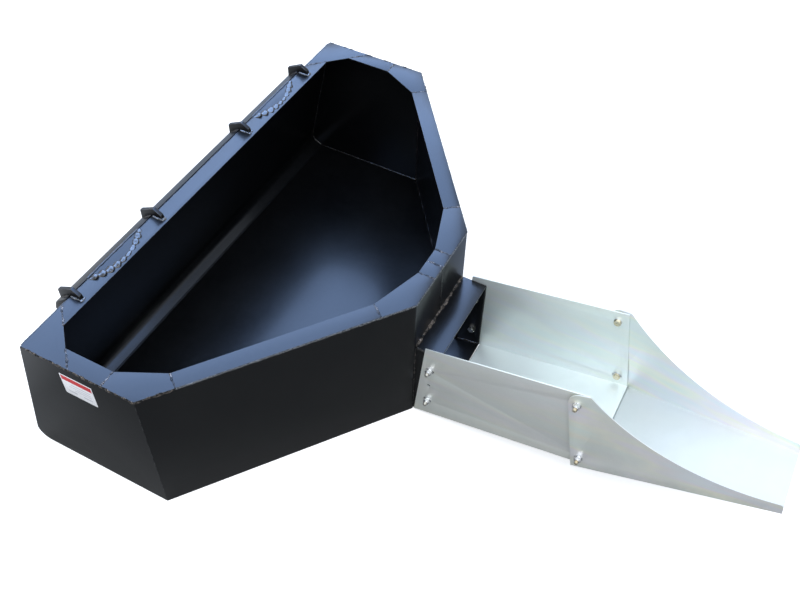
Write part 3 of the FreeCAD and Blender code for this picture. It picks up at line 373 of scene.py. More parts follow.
# %% Group: settled dust
dust_group, dust_in, dust_out = new_group(
    "settled_dust",
    [("Place", VECTOR, None), ("Scale", FLOAT, 60.0), ("Amount", FLOAT, 0.3)],
    [("Mask", FLOAT)])
facing = add(dust_group, "SeparateXYZ",
             {0: add(dust_group, "NewGeometry").outputs["Normal"]}).outputs["Z"]
upward = stretch_range(dust_group, facing, 0.35, 1.0)
grains = stretch_range(dust_group,
                       noise(dust_group, dust_in.outputs["Place"],
                             dust_in.outputs["Scale"], 6.0, 0.62),
                       0.40, 0.72)
dust_group.links.new(
    maths(dust_group, "MULTIPLY",
          maths(dust_group, "MULTIPLY", upward, grains), dust_in.outputs["Amount"]),
    dust_out.inputs["Mask"])
print("group", dust_group.name)

# %% [markdown]
# ## Shared effect: fine scratches
#
# Handling leaves hair-fine scratches on plated sheet and on fasteners. A noise
# read through a Mapping node that stretches one axis gives long thin streaks;
# two of them crossed look like use and not like brushing.

# %% Group: fine scratches
scratch_group, scratch_in, scratch_out = new_group(
    "fine_scratches",
    [("Place", VECTOR, None), ("Scale", FLOAT, 40.0), ("Cut", FLOAT, 0.62)],
    [("Mask", FLOAT)])
streaks = []
for turn_angles in ((0.3, 0.1, 0.5), (0.2, 0.9, 2.1)):
    mapped = add(scratch_group, "Mapping",
                 {"Vector": scratch_in.outputs["Place"], "Rotation": turn_angles,
                  "Scale": (0.35, 14.0, 14.0)})
    streak = noise(scratch_group, mapped.outputs[0], scratch_in.outputs["Scale"], 3.0)
    streaks.append(maths(scratch_group, "GREATER_THAN", streak, scratch_in.outputs["Cut"]))
scratch_group.links.new(maths(scratch_group, "ADD", streaks[0], streaks[1], clamp=True),
                        scratch_out.inputs["Mask"])
print("group", scratch_group.name)

# %% [markdown]
# ## Material: sprayed black paint
#
# The hopper is sprayed satin black. Nearly all it shows is reflection, so the
# roughness and the bump matter more than the colour. A thin clear coat on the
# shader gives the second, sharper glint that fresh machine paint has.

# %% Sprayed black
PAINT_BLACK = (0.0020, 0.0022, 0.0028, 1)
PAINT_HAZE = (0.0034, 0.0036, 0.0040, 1)
PAINT_DUST = (0.060, 0.060, 0.060, 1)
PAINT_RUBBED = (0.075, 0.078, 0.082, 1)


def start_material(name):
    material = bpy.data.materials.new(name)
    material.use_nodes = True
    tree = material.node_tree
    tree.nodes.clear()
    place = add(tree, "TexCoord").outputs["Object"]
    return material, tree, place


def end_material(tree, shader):
    output = tree.nodes.new("ShaderNodeOutputMaterial")
    tree.links.new(shader.outputs[0], output.inputs["Surface"])


def make_paint(name, smoothest, roughest, pebble_height, bump_strength, dust, rub):
    material, tree, place = start_material(name)
    haze = use_group(tree, cloud_group, {"Place": place, "Scale": 5.0}).outputs["Mask"]
    dusty = use_group(tree, dust_group, {"Place": place, "Amount": dust}).outputs["Mask"]
    edge = add(tree, "Attribute", attribute_name="edge").outputs["Fac"]
    rubbed = use_group(tree, rub_group,
                       {"Place": place, "Edge": edge, "Amount": rub}).outputs["Mask"]
    colour = blend_colours(tree, haze, PAINT_BLACK, PAINT_HAZE)
    colour = blend_colours(tree, dusty, colour, PAINT_DUST)
    colour = blend_colours(tree, rubbed, colour, PAINT_RUBBED)
    sheen = stretch_range(tree, haze, 0.0, 1.0, smoothest, roughest)
    roughness = maths(tree, "ADD", sheen, maths(tree, "MULTIPLY", dusty, 0.8), clamp=True)
    height = use_group(tree, skin_group,
                       {"Place": place, "Pebble Height": pebble_height}).outputs["Height"]
    bump = add(tree, "Bump", {"Height": height, "Strength": bump_strength,
                              "Distance": 0.4 * MM})
    end_material(tree, add(tree, "BsdfPrincipled", {
        "Base Color": colour, "Roughness": roughness, "Normal": bump.outputs[0],
        "Specular IOR Level": 0.27, "Coat Weight": 0.05, "Coat Roughness": 0.12}))
    return material


sheet_paint = make_paint("sprayed_black_sheet", 0.28, 0.33, 0.12, 0.35, 0.05, 0.7)
mount_paint = make_paint("sprayed_black_mount", 0.30, 0.40, 0.30, 0.6, 0.08, 0.9)
print("paints:", sheet_paint.name, mount_paint.name)

# %% [markdown]
# ## Material: painted weld metal
#
# Paint flows thin over the crests of a bead and leaves brownish, silvery metal
# showing through in spots. The same paint would hide the beads, so they get
# their own material: a fine cloud mask picks the thin spots, where the
# surface turns lighter, a little metallic and rougher. Four versions differ in
# how much metal is bare: plain beads, the bronze rim, ground edges, glossy dabs.

# %% Painted weld
WELD_THIN = (0.120, 0.100, 0.088, 1)
WELD_SMOKE = (0.006, 0.006, 0.006, 1)
# Bare grey metal; on the ground beads it is also a painted reflection of the sky on a rounded edge.
WELD_GREY = (0.230, 0.245, 0.265, 1)
WELD_BRONZE = (0.260, 0.225, 0.200, 1)


def make_weld_paint(name, bare_low, bare_high, bare_colour=WELD_THIN, gloss=0.4):
    material, tree, place = start_material(name)
    thin = use_group(tree, cloud_group, {"Place": place, "Scale": 75.0, "Drift": 0.012,
                                         "Low": bare_low, "High": bare_high}).outputs["Mask"]
    speckle = stretch_range(tree, noise(tree, place, 420.0, 3.0), 0.40, 0.60)
    bare = maths(tree, "MULTIPLY", thin, speckle)
    colour = blend_colours(tree, bare, WELD_SMOKE, bare_colour)
    height = use_group(tree, skin_group, {"Place": place, "Pebble Scale": 600.0,
                                          "Pebble Height": 0.3}).outputs["Height"]
    bump = add(tree, "Bump", {"Height": height, "Strength": 0.45, "Distance": 0.4 * MM})
    end_material(tree, add(tree, "BsdfPrincipled", {
        "Base Color": colour, "Metallic": maths(tree, "MULTIPLY", bare, 0.7),
        "Roughness": stretch_range(tree, bare, 0.0, 1.0, 0.26, 0.42),
        "Normal": bump.outputs[0], "Specular IOR Level": gloss}))
    return material


weld_paint = make_weld_paint("painted_weld", 0.52, 0.74)
rim_weld_paint = make_weld_paint("thinly_painted_weld", 0.42, 0.62, WELD_BRONZE, 0.16)
# The ground beads show much light grey metal: part bare metal, part a painted reflection of the sky
# that a rounded edge catches.
ground_metal_and_reflection_paint = make_weld_paint("ground_weld_and_painted_reflection", 0.10, 0.50, WELD_GREY)
dab_paint = make_weld_paint("glossy_weld", 0.56, 0.72, WELD_GREY, 0.7)
print("welds:", weld_paint.name, rim_weld_paint.name, ground_metal_and_reflection_paint.name, dab_paint.name)

# %% [markdown]
# ## Material: zinc plate with bloom
#
# The chute and its extension are zinc plated and passivated. The film is so
# thin that it tints the metal by interference: mostly pale grey, with drifts of
# straw, green, rose and blue. A colour ramp read by a slanting noise lays those
# tints as run-off streaks on the upright faces, and a wide cloud says how strong
# they are. The upright faces at -X are painted straw grey and the rest sea green:
# a painted reflection, of the floor on the -X sides and of the cool sky on the
# others.

# %% Zinc plate
ZINC_GREY = (0.830, 0.840, 0.830, 1)
ZINC_DULL = (0.710, 0.715, 0.700, 1)
ZINC_WORN = (0.88, 0.89, 0.89, 1)
# The next two tones are a painted reflection: straw grey for the -X upright faces, sea green for
# the rest.
ZINC_STRAW_REFLECTION = (0.625, 0.645, 0.605, 1)
ZINC_SEA_REFLECTION = (0.850, 0.945, 0.930, 1)
BLOOM_TINTS = ((0.00, (0.800, 0.880, 0.880, 1)),
               (0.22, (0.800, 0.900, 0.810, 1)),
               (0.45, (0.930, 0.915, 0.750, 1)),
               (0.62, (0.900, 0.840, 0.890, 1)),
               (0.80, (0.810, 0.860, 0.930, 1)),
               (1.00, (0.830, 0.900, 0.840, 1)))
RUN_OFF = (math.radians(28), 0.0, 0.0)
# The next two tones multiply the level faces: the second darkens the extension's floor as painted
# shade, to hold down its bright reflection; the first leaves the chute's as it is.
LEVEL_UNSHADED = (1.0, 1.0, 1.0, 1)
LEVEL_PAINTED_SHADE = (0.83, 0.82, 0.84, 1)


def make_zinc(name, bloom_strength, smoothest, roughest, level_shade):
    """level_shade darkens the level faces, such as the floor of the channel: a painted shade that
    holds down their bright reflection.
    """
    material, tree, place = start_material(name)
    split = add(tree, "SeparateXYZ", {0: place})
    mottle = use_group(tree, cloud_group, {"Place": place, "Scale": 22.0, "Drift": 0.03,
                                           "Low": 0.36, "High": 0.74}).outputs["Mask"]
    # Rinse water ran down and along each sheet, so its marks are long slanting streaks.
    slanted = add(tree, "Mapping", {"Vector": place, "Rotation": RUN_OFF,
                                    "Scale": (1.0, 2.2, 14.0)}).outputs[0]
    streaks = stretch_range(tree, noise(tree, slanted, 1.5, 4.0), 0.44, 0.66)
    dull = maths(tree, "MAXIMUM", maths(tree, "MULTIPLY", mottle, 0.7),
                 maths(tree, "MULTIPLY", streaks, 0.6))
    metal = blend_colours(tree, dull, ZINC_GREY, ZINC_DULL)
    upright = maths(tree, "SUBTRACT", 1.0, maths(
        tree, "ABSOLUTE", add(tree, "SeparateXYZ", {
            0: add(tree, "NewGeometry").outputs["Normal"]}).outputs["Z"]), clamp=True)
    # Upright faces at -X are painted straw grey and the rest sea green: a painted reflection of the
    # floor and of the sky.
    near_side_reflection = maths(tree, "MULTIPLY", upright, maths(tree, "LESS_THAN", split.outputs["X"], 0.0))
    metal_with_reflection = blend_colours(tree, 0.7, metal,
                           blend_colours(tree, near_side_reflection, ZINC_SEA_REFLECTION, ZINC_STRAW_REFLECTION))
    tint_read = stretch_range(tree, noise(tree, slanted, 1.1, 2.0), 0.30, 0.70)
    ramp = add(tree, "ValToRGB", {"Fac": tint_read})
    while len(ramp.color_ramp.elements) < len(BLOOM_TINTS):
        ramp.color_ramp.elements.new(0.5)
    for element, (position, colour) in zip(ramp.color_ramp.elements, BLOOM_TINTS):
        element.position = position
        element.color = colour
    wide = use_group(tree, cloud_group, {"Place": place, "Scale": 3.2, "Drift": 0.12,
                                         "Low": 0.30, "High": 0.66}).outputs["Mask"]
    bloom = maths(tree, "MULTIPLY", maths(tree, "MULTIPLY", wide, upright), bloom_strength)
    tinted = blend_colours(tree, bloom, metal_with_reflection, ramp.outputs["Color"])
    scratched = use_group(tree, scratch_group, {"Place": place, "Scale": 24.0,
                                                "Cut": 0.66}).outputs["Mask"]
    edge = add(tree, "Attribute", attribute_name="edge").outputs["Fac"]
    bright_edge = use_group(tree, rub_group,
                            {"Place": place, "Edge": edge, "Amount": 0.6}).outputs["Mask"]
    colour = blend_colours(tree, maths(tree, "MULTIPLY", scratched, 0.22), tinted, ZINC_WORN)
    colour = blend_colours(tree, bright_edge, colour, ZINC_WORN)
    # Level faces are multiplied by the level tone: painted shade on the extension's floor.
    level = maths(tree, "SUBTRACT", 1.0, upright)
    colour = blend_colours(tree, level, colour, level_shade, "MULTIPLY")
    roughness = maths(tree, "ADD", stretch_range(tree, dull, 0.0, 1.0, smoothest, roughest),
                      maths(tree, "MULTIPLY", scratched, 0.06))
    height = use_group(tree, skin_group, {"Place": place, "Pebble Scale": 240.0,
                                          "Pebble Height": 0.12,
                                          "Wave Scale": 7.0}).outputs["Height"]
    bump = add(tree, "Bump", {"Height": height, "Strength": 0.35, "Distance": 0.4 * MM})
    end_material(tree, add(tree, "BsdfPrincipled", {
        "Base Color": colour, "Roughness": roughness, "Normal": bump.outputs[0],
        "Metallic": 0.6}))
    return material


chute_zinc = make_zinc("zinc_plate_chute", 0.35, 0.40, 0.52, LEVEL_UNSHADED)
extension_zinc = make_zinc("zinc_plate_extension", 0.95, 0.36, 0.46, LEVEL_PAINTED_SHADE)
print("zinc:", chute_zinc.name, extension_zinc.name)

# %% [markdown]
# ## Materials: bright zinc and yellow zinc fasteners
#
# Nuts and washers are bright zinc. The bolts are all passivated yellow; the
# spout's get a paler copy of that yellow, a painted reflection of the grey sky
# their heads show. They are small, so one function makes all three: two colours,
# a fine cloud between them, and scratches from the socket.

# %% Fastener metals
SOCKET_SCRATCH = (0.72, 0.72, 0.70, 1)
BRIGHT_PAIR = ((0.80, 0.81, 0.82, 1), (0.68, 0.69, 0.71, 1))
YELLOW_PAIR = ((0.70, 0.58, 0.36, 1), (0.64, 0.58, 0.44, 1))
# A paler copy of the yellow zinc for the spout's bolts: a painted reflection of the grey sky on
# their heads.
PALE_REFLECTION_PAIR = ((0.70, 0.67, 0.58, 1), (0.66, 0.66, 0.63, 1))


def make_fastener_metal(name, colour_a, colour_b, smoothest, roughest):
    material, tree, place = start_material(name)
    flash = use_group(tree, cloud_group, {"Place": place, "Scale": 120.0, "Drift": 0.01,
                                          "Low": 0.35, "High": 0.65}).outputs["Mask"]
    scratched = use_group(tree, scratch_group, {"Place": place, "Scale": 160.0,
                                                "Cut": 0.60}).outputs["Mask"]
    colour = blend_colours(tree, flash, colour_a, colour_b)
    colour = blend_colours(tree, maths(tree, "MULTIPLY", scratched, 0.35), colour,
                           SOCKET_SCRATCH)
    roughness = stretch_range(tree, flash, 0.0, 1.0, smoothest, roughest)
    height = use_group(tree, skin_group, {"Place": place, "Pebble Scale": 1500.0,
                                          "Pebble Height": 0.5,
                                          "Wave Scale": 200.0}).outputs["Height"]
    bump = add(tree, "Bump", {"Height": height, "Strength": 0.3, "Distance": 0.1 * MM})
    end_material(tree, add(tree, "BsdfPrincipled", {
        "Base Color": colour, "Roughness": roughness, "Normal": bump.outputs[0],
        "Metallic": 1.0}))
    return material


bright_zinc = make_fastener_metal("bright_zinc_fasteners", *BRIGHT_PAIR, 0.18, 0.30)
yellow_zinc = make_fastener_metal("yellow_zinc_bolts", *YELLOW_PAIR, 0.20, 0.34)
reflection_paled_zinc = make_fastener_metal("yellow_zinc_painted_reflection_bolts", *PALE_REFLECTION_PAIR, 0.20, 0.34)
print("fasteners:", bright_zinc.name, yellow_zinc.name, reflection_paled_zinc.name)

# %% [markdown]
# ## Dressed sheets
#
# A CAD sheet has knife-sharp edges, and a real sheet that has been cut, ground
# and painted has none: its edge catches a thin line of light. The sheets have
# the right shape already, so each is copied instead of modelled again. The
# copy's loose triangles are merged, flat faces are joined, and a Bevel modifier
# rounds the edges. Its faces are marked with the "edge" attribute for the paint.

# %% Rounding the edges of a copy
EDGE_SLOT = 1


def mark_edge_faces(mesh):
    """Writes 1 on the corners of the rounded-edge faces, and 0 on the rest."""
    slots = np.empty(len(mesh.polygons), dtype=np.int32)
    mesh.polygons.foreach_get("material_index", slots)
    corners = np.empty(len(mesh.polygons), dtype=np.int32)
    mesh.polygons.foreach_get("loop_total", corners)
    on_edge = np.repeat((slots == EDGE_SLOT).astype(np.float32), corners)
    attribute = mesh.attributes.new("edge", "FLOAT", "CORNER")
    attribute.data.foreach_set("value", on_edge)
    mesh.polygons.foreach_set("material_index", np.zeros(len(slots), dtype=np.int32))


def dress(node, material, slot, edge_radius=0.9 * MM, sharper_than=34):
    piece = copy_of(cad_nodes[node], "dressed_" + node)
    pick(piece)
    bpy.ops.mesh.customdata_custom_splitnormals_clear()
    bpy.ops.object.mode_set(mode="EDIT")
    bpy.ops.mesh.select_all(action="SELECT")
    bpy.ops.mesh.remove_doubles(threshold=0.01 * MM)
    bpy.ops.mesh.dissolve_limited(angle_limit=math.radians(0.6))
    bpy.ops.object.mode_set(mode="OBJECT")
    piece.data.materials.clear()
    piece.data.materials.append(material)
    piece.data.materials.append(material)
    rounding = piece.modifiers.new("rounded_edges", "BEVEL")
    rounding.width = edge_radius
    rounding.segments = 3
    rounding.limit_method = "ANGLE"
    rounding.angle_limit = math.radians(sharper_than)
    rounding.material = EDGE_SLOT
    finish_modifiers(piece)
    mark_edge_faces(piece.data)
    smooth(piece, 28)
    hand_over(piece, body_of[node], slot, material, node)
    return piece


PAINTED_SHEETS = [n for n in sorted(cad_nodes)
                  if n.startswith(("back_", "end_", "floor_", "side_", "rim_", "spout_floor",
                                   "spout_side", "spout_top"))]
MOUNT_PARTS = [n for n in sorted(cad_nodes) if n.startswith(("mount_", "ledge_"))]
for node in PAINTED_SHEETS:
    dress(node, sheet_paint, "black_paint")
for node in MOUNT_PARTS:
    dress(node, mount_paint, "black_paint", 1.2 * MM)
dress("chute", chute_zinc, "zinc_sheet", 0.5 * MM)
dress("chute_extension", extension_zinc, "zinc_sheet", 0.5 * MM)
dress("spout_washers", bright_zinc, "bright_zinc_fastener", 0.3 * MM)
dress("extension_washers", bright_zinc, "bright_zinc_fastener", 0.3 * MM)
print("dressed", len(pieces_made), "sheets and washers")

# %% [markdown]
# ## Weld beads: one ripple and one dab
#
# The hopper is welded by hand, and each bead is a row of overlapping ripples,
# each a small crescent where the pool froze. A bump could draw the ripples on
# the paint, but a bead also stands proud and catches light from the side, so
# it is geometry. One ripple is modelled from an open cylinder, one unit long
# and one unit wide: two rings are cut into it, the rings are swollen, and the
# middle is pulled ahead to make the crescent. A dab, for the thick tab welds, is
# the same tube with three fuller rings.

# %% Model one ripple and one dab


def model_ripple(name, cuts):
    """A tube one unit long; each cut is (distance along, swelling there)."""
    clear_selection()
    bpy.ops.mesh.primitive_cylinder_add(vertices=10, radius=0.5, depth=1.0,
                                        end_fill_type="NOTHING",
                                        location=(0.5, 0, 0), rotation=(0, math.pi / 2, 0))
    tube = bpy.context.object
    tube.name = name
    settle(tube)
    for cut_at, swell in cuts:
        open_for_editing(tube)
        bpy.ops.mesh.select_all(action="SELECT")
        bpy.ops.mesh.bisect(plane_co=(cut_at, 0, 0), plane_no=(1, 0, 0))
        select_where(tube, "VERT", lambda co: abs(co.x - cut_at) < 0.01)
        bpy.ops.transform.resize(value=(1, swell, swell))
    for higher_than, pulled in ((0.2, 0.20), (0.42, 0.15)):
        select_where(tube, "VERT", lambda co: co.z > higher_than)
        bpy.ops.transform.translate(value=(pulled, 0, 0))
    bpy.ops.object.mode_set(mode="OBJECT")
    print(name, len(tube.data.polygons), "faces")
    return tube


ripple = model_ripple("one_ripple", ((0.35, 1.20), (0.70, 1.12)))
dab = model_ripple("one_dab", ((0.25, 1.9), (0.50, 2.2), (0.78, 1.8)))

# %% [markdown]
# ## Weld beads: a run along a route
#
# An Array modifier repeats the ripple for the length of the joint. The row is
# straight then, so its points are moved onto the joint's route: how far along
# the row a point is says where on the route it goes, and a direction called
# "out" says which way the bead stands. A Curve modifier could do the move, but
# it can't be told which way is out. Slow sine waves vary the width and height a
# little, as an unsteady hand does, and the same way every time.

# %% Lay a run of ripples


def along_route(route, at):
    """Points and unit directions at the given distances along a polyline."""
    route = np.asarray(route, float)
    legs = np.linalg.norm(np.diff(route, axis=0), axis=1)
    reached = np.concatenate([[0], np.cumsum(legs)])
    at = np.clip(at, 0, reached[-1])
    place = np.column_stack([np.interp(at, reached, route[:, i]) for i in range(3)])
    step = min(3 * MM, reached[-1] / 4)
    ahead = np.column_stack([np.interp(np.clip(at + step, 0, reached[-1]), reached,
                                       route[:, i]) for i in range(3)])
    behind = np.column_stack([np.interp(np.clip(at - step, 0, reached[-1]), reached,
                                        route[:, i]) for i in range(3)])
    way = ahead - behind
    return place, way / np.linalg.norm(way, axis=1)[:, None], reached[-1]


def lay_run(name, route, out, width=6.0, proud=1.6, pitch=3.6, unsteady=0.12, model=ripple):
    """One bead. Route in millimetres; width, height and ripple pitch too."""
    route = np.asarray(route, float) * MM
    length = np.linalg.norm(np.diff(route, axis=0), axis=1).sum()
    count = max(2, round(length / (pitch * MM)))
    run = copy_of(model, name)
    row = run.modifiers.new("row_of_ripples", "ARRAY")
    row.count = count
    row.use_constant_offset = True
    row.use_relative_offset = False
    row.constant_offset_displace = (1, 0, 0)
    row.use_merge_vertices = True
    row.merge_threshold = 0.01
    finish_modifiers(run)
    points = points_of(run.data)
    share = np.clip(points[:, 0] / count, 0, 1)
    place, way, length = along_route(route, share * length)
    out = np.asarray(out, float)
    if out.ndim == 1:
        outward = np.tile(out, (len(points), 1))
    else:
        marks = np.linspace(0, 1, len(out))
        outward = np.column_stack([np.interp(share, marks, out[:, i]) for i in range(3)])
    outward -= way * (outward * way).sum(axis=1)[:, None]
    outward /= np.linalg.norm(outward, axis=1)[:, None]
    across = np.cross(outward, way)
    phase = 40 * route[0].sum()
    beat = points[:, 0]
    wobble = 1 + unsteady * (np.sin(beat * 0.37 + phase) + 0.7 * np.sin(beat * 1.13 + 2 * phase))
    each = np.floor(beat + 0.001)
    ripple_step = 1 + 1.6 * unsteady * np.sin(each * 2.4 + phase) * np.sin(each * 0.83 + phase)
    sway = 0.8 * unsteady * width * MM * np.sin(beat * 0.61 + phase) * np.sin(beat * 0.23)
    ends = np.clip(np.minimum(points[:, 0], count - points[:, 0]) / 1.2, 0, 1)
    taper = 0.35 + 0.65 * np.sqrt(ends)
    half_width = points[:, 1] * width * MM * wobble * taper + sway * ends
    half_height = points[:, 2] * 2 * proud * MM * wobble * ripple_step * taper
    move_points(run.data, place + across * half_width[:, None] + outward * half_height[:, None])
    open_for_editing(run)
    bpy.ops.mesh.select_non_manifold()
    bpy.ops.mesh.fill_holes(sides=0)
    bpy.ops.object.mode_set(mode="OBJECT")
    if model is dab:
        fuller = run.modifiers.new("fuller", "SUBSURF")
        fuller.levels = fuller.render_levels = 1
        finish_modifiers(run)
    return run


def weld(name, runs, material=None):
    """Joins several runs into one piece on the hopper."""
    laid = [lay_run(name, **run) for run in runs]
    piece = join_all(laid, name)
    smooth(piece, 50)
    hand_over(piece, "bucket", "black_paint", material or weld_paint)
    print(name, len(runs), "runs,", len(piece.data.polygons), "faces")
    return piece


def both_sides(points):
    """The same route on the left (-X) and the right (+X) half."""
    return [[(side * x, y, z) for x, y, z in points] for side in (-1, 1)]


# %% [markdown]
# ## Where the sheets meet
#
# The joints inside the hopper follow from a few lengths: the half width, the
# slope of the back wall, and the round heel where that wall turns into the
# floor. Working the corners out here keeps every bead on its joint.

# %% Lengths of the hopper, in millimetres
HALF_WIDTH = 762.0
SHEET = 5.0
RIM_TOP = 488.0
WALL_TOP = 483.0
REAR = 857.0
END_FRONT = 499.0
FRONT = 39.5
FRONT_HALF = 157.0
INSIDE = HALF_WIDTH - SHEET
FLOOR_TOP = 5.0
HEEL_SEAM = 914.0
WALL_SLOPE = 0.2213
FOOT_SLOPE = math.radians(26.0)
FOOT_BEND = 30.0
SPOUT_HALF = 153.5
SPOUT_MOUTH = -40.5
SPOUT_ROOF = 302.0
SPOUT_FLOOR_SLOPE = math.tan(math.radians(10.5))

diagonal = np.array([HALF_WIDTH - FRONT_HALF, END_FRONT - FRONT])
diagonal_length = np.linalg.norm(diagonal)
diagonal_way = diagonal / diagonal_length
diagonal_inward = np.array([-diagonal_way[1], diagonal_way[0]])
on_inside = np.array([HALF_WIDTH, END_FRONT]) + SHEET * diagonal_inward
side_corner_y = on_inside[1] + (INSIDE - on_inside[0]) / diagonal_way[0] * diagonal_way[1]
front_corner_x = (on_inside[0]
                  + (FRONT + SHEET - on_inside[1]) / diagonal_way[1] * diagonal_way[0])
wall_lean = math.atan(WALL_SLOPE)


def back_inside(height):
    return REAR - 1 + (WALL_TOP - height) * WALL_SLOPE


def back_outside(height):
    return back_inside(height) + SHEET / math.cos(wall_lean)


# A flat strip slopes up from the floor to the bend, and the bend turns it into the wall.
strip_top = SHEET / math.cos(FOOT_SLOPE)
strip_run = ((back_inside(strip_top) - HEEL_SEAM)
             / (1 + WALL_SLOPE * math.tan(FOOT_SLOPE)))
foot_corner = np.array([HEEL_SEAM + strip_run, strip_top + strip_run * math.tan(FOOT_SLOPE)])
inward_ways = np.array([(-math.sin(FOOT_SLOPE), math.cos(FOOT_SLOPE)),
                        (-math.cos(wall_lean), -math.sin(wall_lean))])
bend_centre = foot_corner + np.linalg.solve(inward_ways, [FOOT_BEND, FOOT_BEND])
heel = [(bend_centre[0] + FOOT_BEND * math.cos(angle),
         bend_centre[1] + FOOT_BEND * math.sin(angle))
        for angle in np.linspace(wall_lean, FOOT_SLOPE - math.pi / 2, 9)]
print("inside corners: side y", round(side_corner_y, 1), "front x", round(front_corner_x, 1))

# %% [markdown]
# ## Beads inside the hopper
#
# A fillet bead runs round the floor, up each inside corner, and down both ends
# of the back wall, round the heel. Its "out" direction points midway between
# the two sheets, so half of it sinks into the corner, as a real fillet does.

# %% Inside beads
floor_runs = []
for side in (-1, 1):
    floor_runs += [
        dict(route=[(side * INSIDE, HEEL_SEAM, FLOOR_TOP),
                    (side * INSIDE, side_corner_y, FLOOR_TOP)],
             out=(-side, 0, 1)),
        dict(route=[(side * INSIDE, side_corner_y, FLOOR_TOP),
                    (side * front_corner_x, FRONT + SHEET, FLOOR_TOP)],
             out=(side * diagonal_inward[0], diagonal_inward[1], 1))]
weld("weld_floor_edges", floor_runs)
weld("weld_heel_seam", [
    dict(route=[(-INSIDE, HEEL_SEAM, FLOOR_TOP), (INSIDE, HEEL_SEAM, FLOOR_TOP)],
         out=(0, 0, 1), width=6.5, proud=1.0, pitch=7.0, unsteady=0.04)], sheet_paint)

corner_runs = []
for side in (-1, 1):
    corner_runs += [
        dict(route=[(side * INSIDE, side_corner_y, FLOOR_TOP),
                    (side * INSIDE, side_corner_y, WALL_TOP)],
             out=(-side, 0.35, 0), width=5.0),
        dict(route=[(side * INSIDE, back_inside(WALL_TOP), WALL_TOP)]
             + [(side * INSIDE, y, z) for y, z in heel]
             + [(side * INSIDE, HEEL_SEAM, strip_top)],
             out=[(-side, -1, 0), (-side, -1, 0), (-side, -1, 0), (-side, -1, 0),
                  (-side, -0.9, 0.1), (-side, -0.4, 0.9), (-side, -0.34, 0.94)], width=6.5)]
weld("weld_inside_corners", corner_runs)

# %% [markdown]
# ## Beads on the rim
#
# The rim is thirteen flat strips butted end to end. Each joint has a low bead
# across it. Another low bead runs round the rim's outer edge, where the strips
# sit on the walls; it was ground and painted over, so it is only a lumpy line.

# %% Rim seams and rim edge
RIM_SEAMS = both_sides([(762, 703, RIM_TOP), (712, 753, RIM_TOP)])
RIM_SEAMS += both_sides([(658, 807, RIM_TOP), (608, 857, RIM_TOP)])
RIM_SEAMS += both_sides([(712, 600.8, RIM_TOP), (762, 600.8, RIM_TOP)])
RIM_SEAMS += both_sides([(649.1, 476.0, RIM_TOP), (679.3, 436.2, RIM_TOP)])
RIM_SEAMS += both_sides([(208.7, 141.5, RIM_TOP), (238.9, 101.7, RIM_TOP)])
RIM_SEAMS += both_sides([(50.2, 89.5, RIM_TOP), (50.2, 39.5, RIM_TOP)])
RIM_SEAMS += [[(0, 89.5, RIM_TOP), (0, 39.5, RIM_TOP)]]
weld("weld_rim_seams", [dict(route=seam, out=(0, 0, 1), width=4.0, proud=0.8, pitch=3.0,
                             unsteady=0.34) for seam in RIM_SEAMS], rim_weld_paint)

RIM_JOINT = 484.5
CORNER_WELD = 104.0
end_runs, diagonal_runs = [], []
for side in (-1, 1):
    end_runs.append(dict(route=[(side * HALF_WIDTH, REAR, RIM_JOINT),
                                (side * HALF_WIDTH, END_FRONT, RIM_JOINT)],
                         out=(side, 0, 0.25), unsteady=0.30))
    outwards = (-side * diagonal_inward[0], -diagonal_inward[1], 0.25)
    corner_end = np.array([HALF_WIDTH, END_FRONT]) - CORNER_WELD * diagonal_way
    end_runs.append(dict(route=[(side * HALF_WIDTH, END_FRONT, RIM_JOINT),
                                (side * corner_end[0], corner_end[1], RIM_JOINT)],
                         out=outwards, unsteady=0.36))
    diagonal_runs.append(dict(route=[(side * corner_end[0], corner_end[1], RIM_JOINT),
                                     (side * FRONT_HALF, FRONT, RIM_JOINT)],
                              out=outwards, unsteady=0.10))
diagonal_runs.append(dict(route=[(-FRONT_HALF, FRONT, RIM_JOINT), (FRONT_HALF, FRONT, RIM_JOINT)],
                          out=(0, -1, 0.25), unsteady=0.12))
weld("weld_rim_ends", [dict(run, width=6.0, proud=1.1, pitch=4.6) for run in end_runs],
     rim_weld_paint)
# The diagonal and front rim beads are light grey partly as a painted reflection of the sky on the
# rounded rim edge.
weld("weld_rim_diagonals", [dict(run, width=5.0, proud=1.1, pitch=3.4) for run in diagonal_runs],
     ground_metal_and_reflection_paint)

# %% [markdown]
# ## Beads on the back
#
# The back sheet sits between the two end plates, with a bead down each side
# behind. The ledge is welded above and below, and each gusset on both faces.

# %% Back beads
LEDGE_UNDER, LEDGE_TOP = 52.0, 62.0
LEDGE_HALF = 571.5
LEDGE_END = 1009.0
GUSSET_TOP = 172.0
GUSSETS = ((218.0, 226.0), (563.5, 571.5))
BACK_BEAD_ENDS = (478.0, 52.0)
back_runs = []
for side in (-1, 1):
    back_runs.append(dict(route=[(side * INSIDE, back_outside(z), z) for z in BACK_BEAD_ENDS],
                          out=(0, 1, WALL_SLOPE), width=6.0, proud=1.2))
back_runs += [
    dict(route=[(-LEDGE_HALF, back_outside(LEDGE_TOP), LEDGE_TOP),
                (LEDGE_HALF, back_outside(LEDGE_TOP), LEDGE_TOP)], out=(0, 1, 1)),
    dict(route=[(-LEDGE_HALF, back_outside(LEDGE_UNDER), LEDGE_UNDER),
                (LEDGE_HALF, back_outside(LEDGE_UNDER), LEDGE_UNDER)], out=(0, 1, -1)),
    dict(route=[(-HALF_WIDTH + 6, back_outside(WALL_TOP), WALL_TOP + 1),
                (HALF_WIDTH - 6, back_outside(WALL_TOP), WALL_TOP + 1)], out=(0, 0.6, 0.8),
         width=5.5, proud=1.2)]
weld("weld_back_sheet", back_runs)

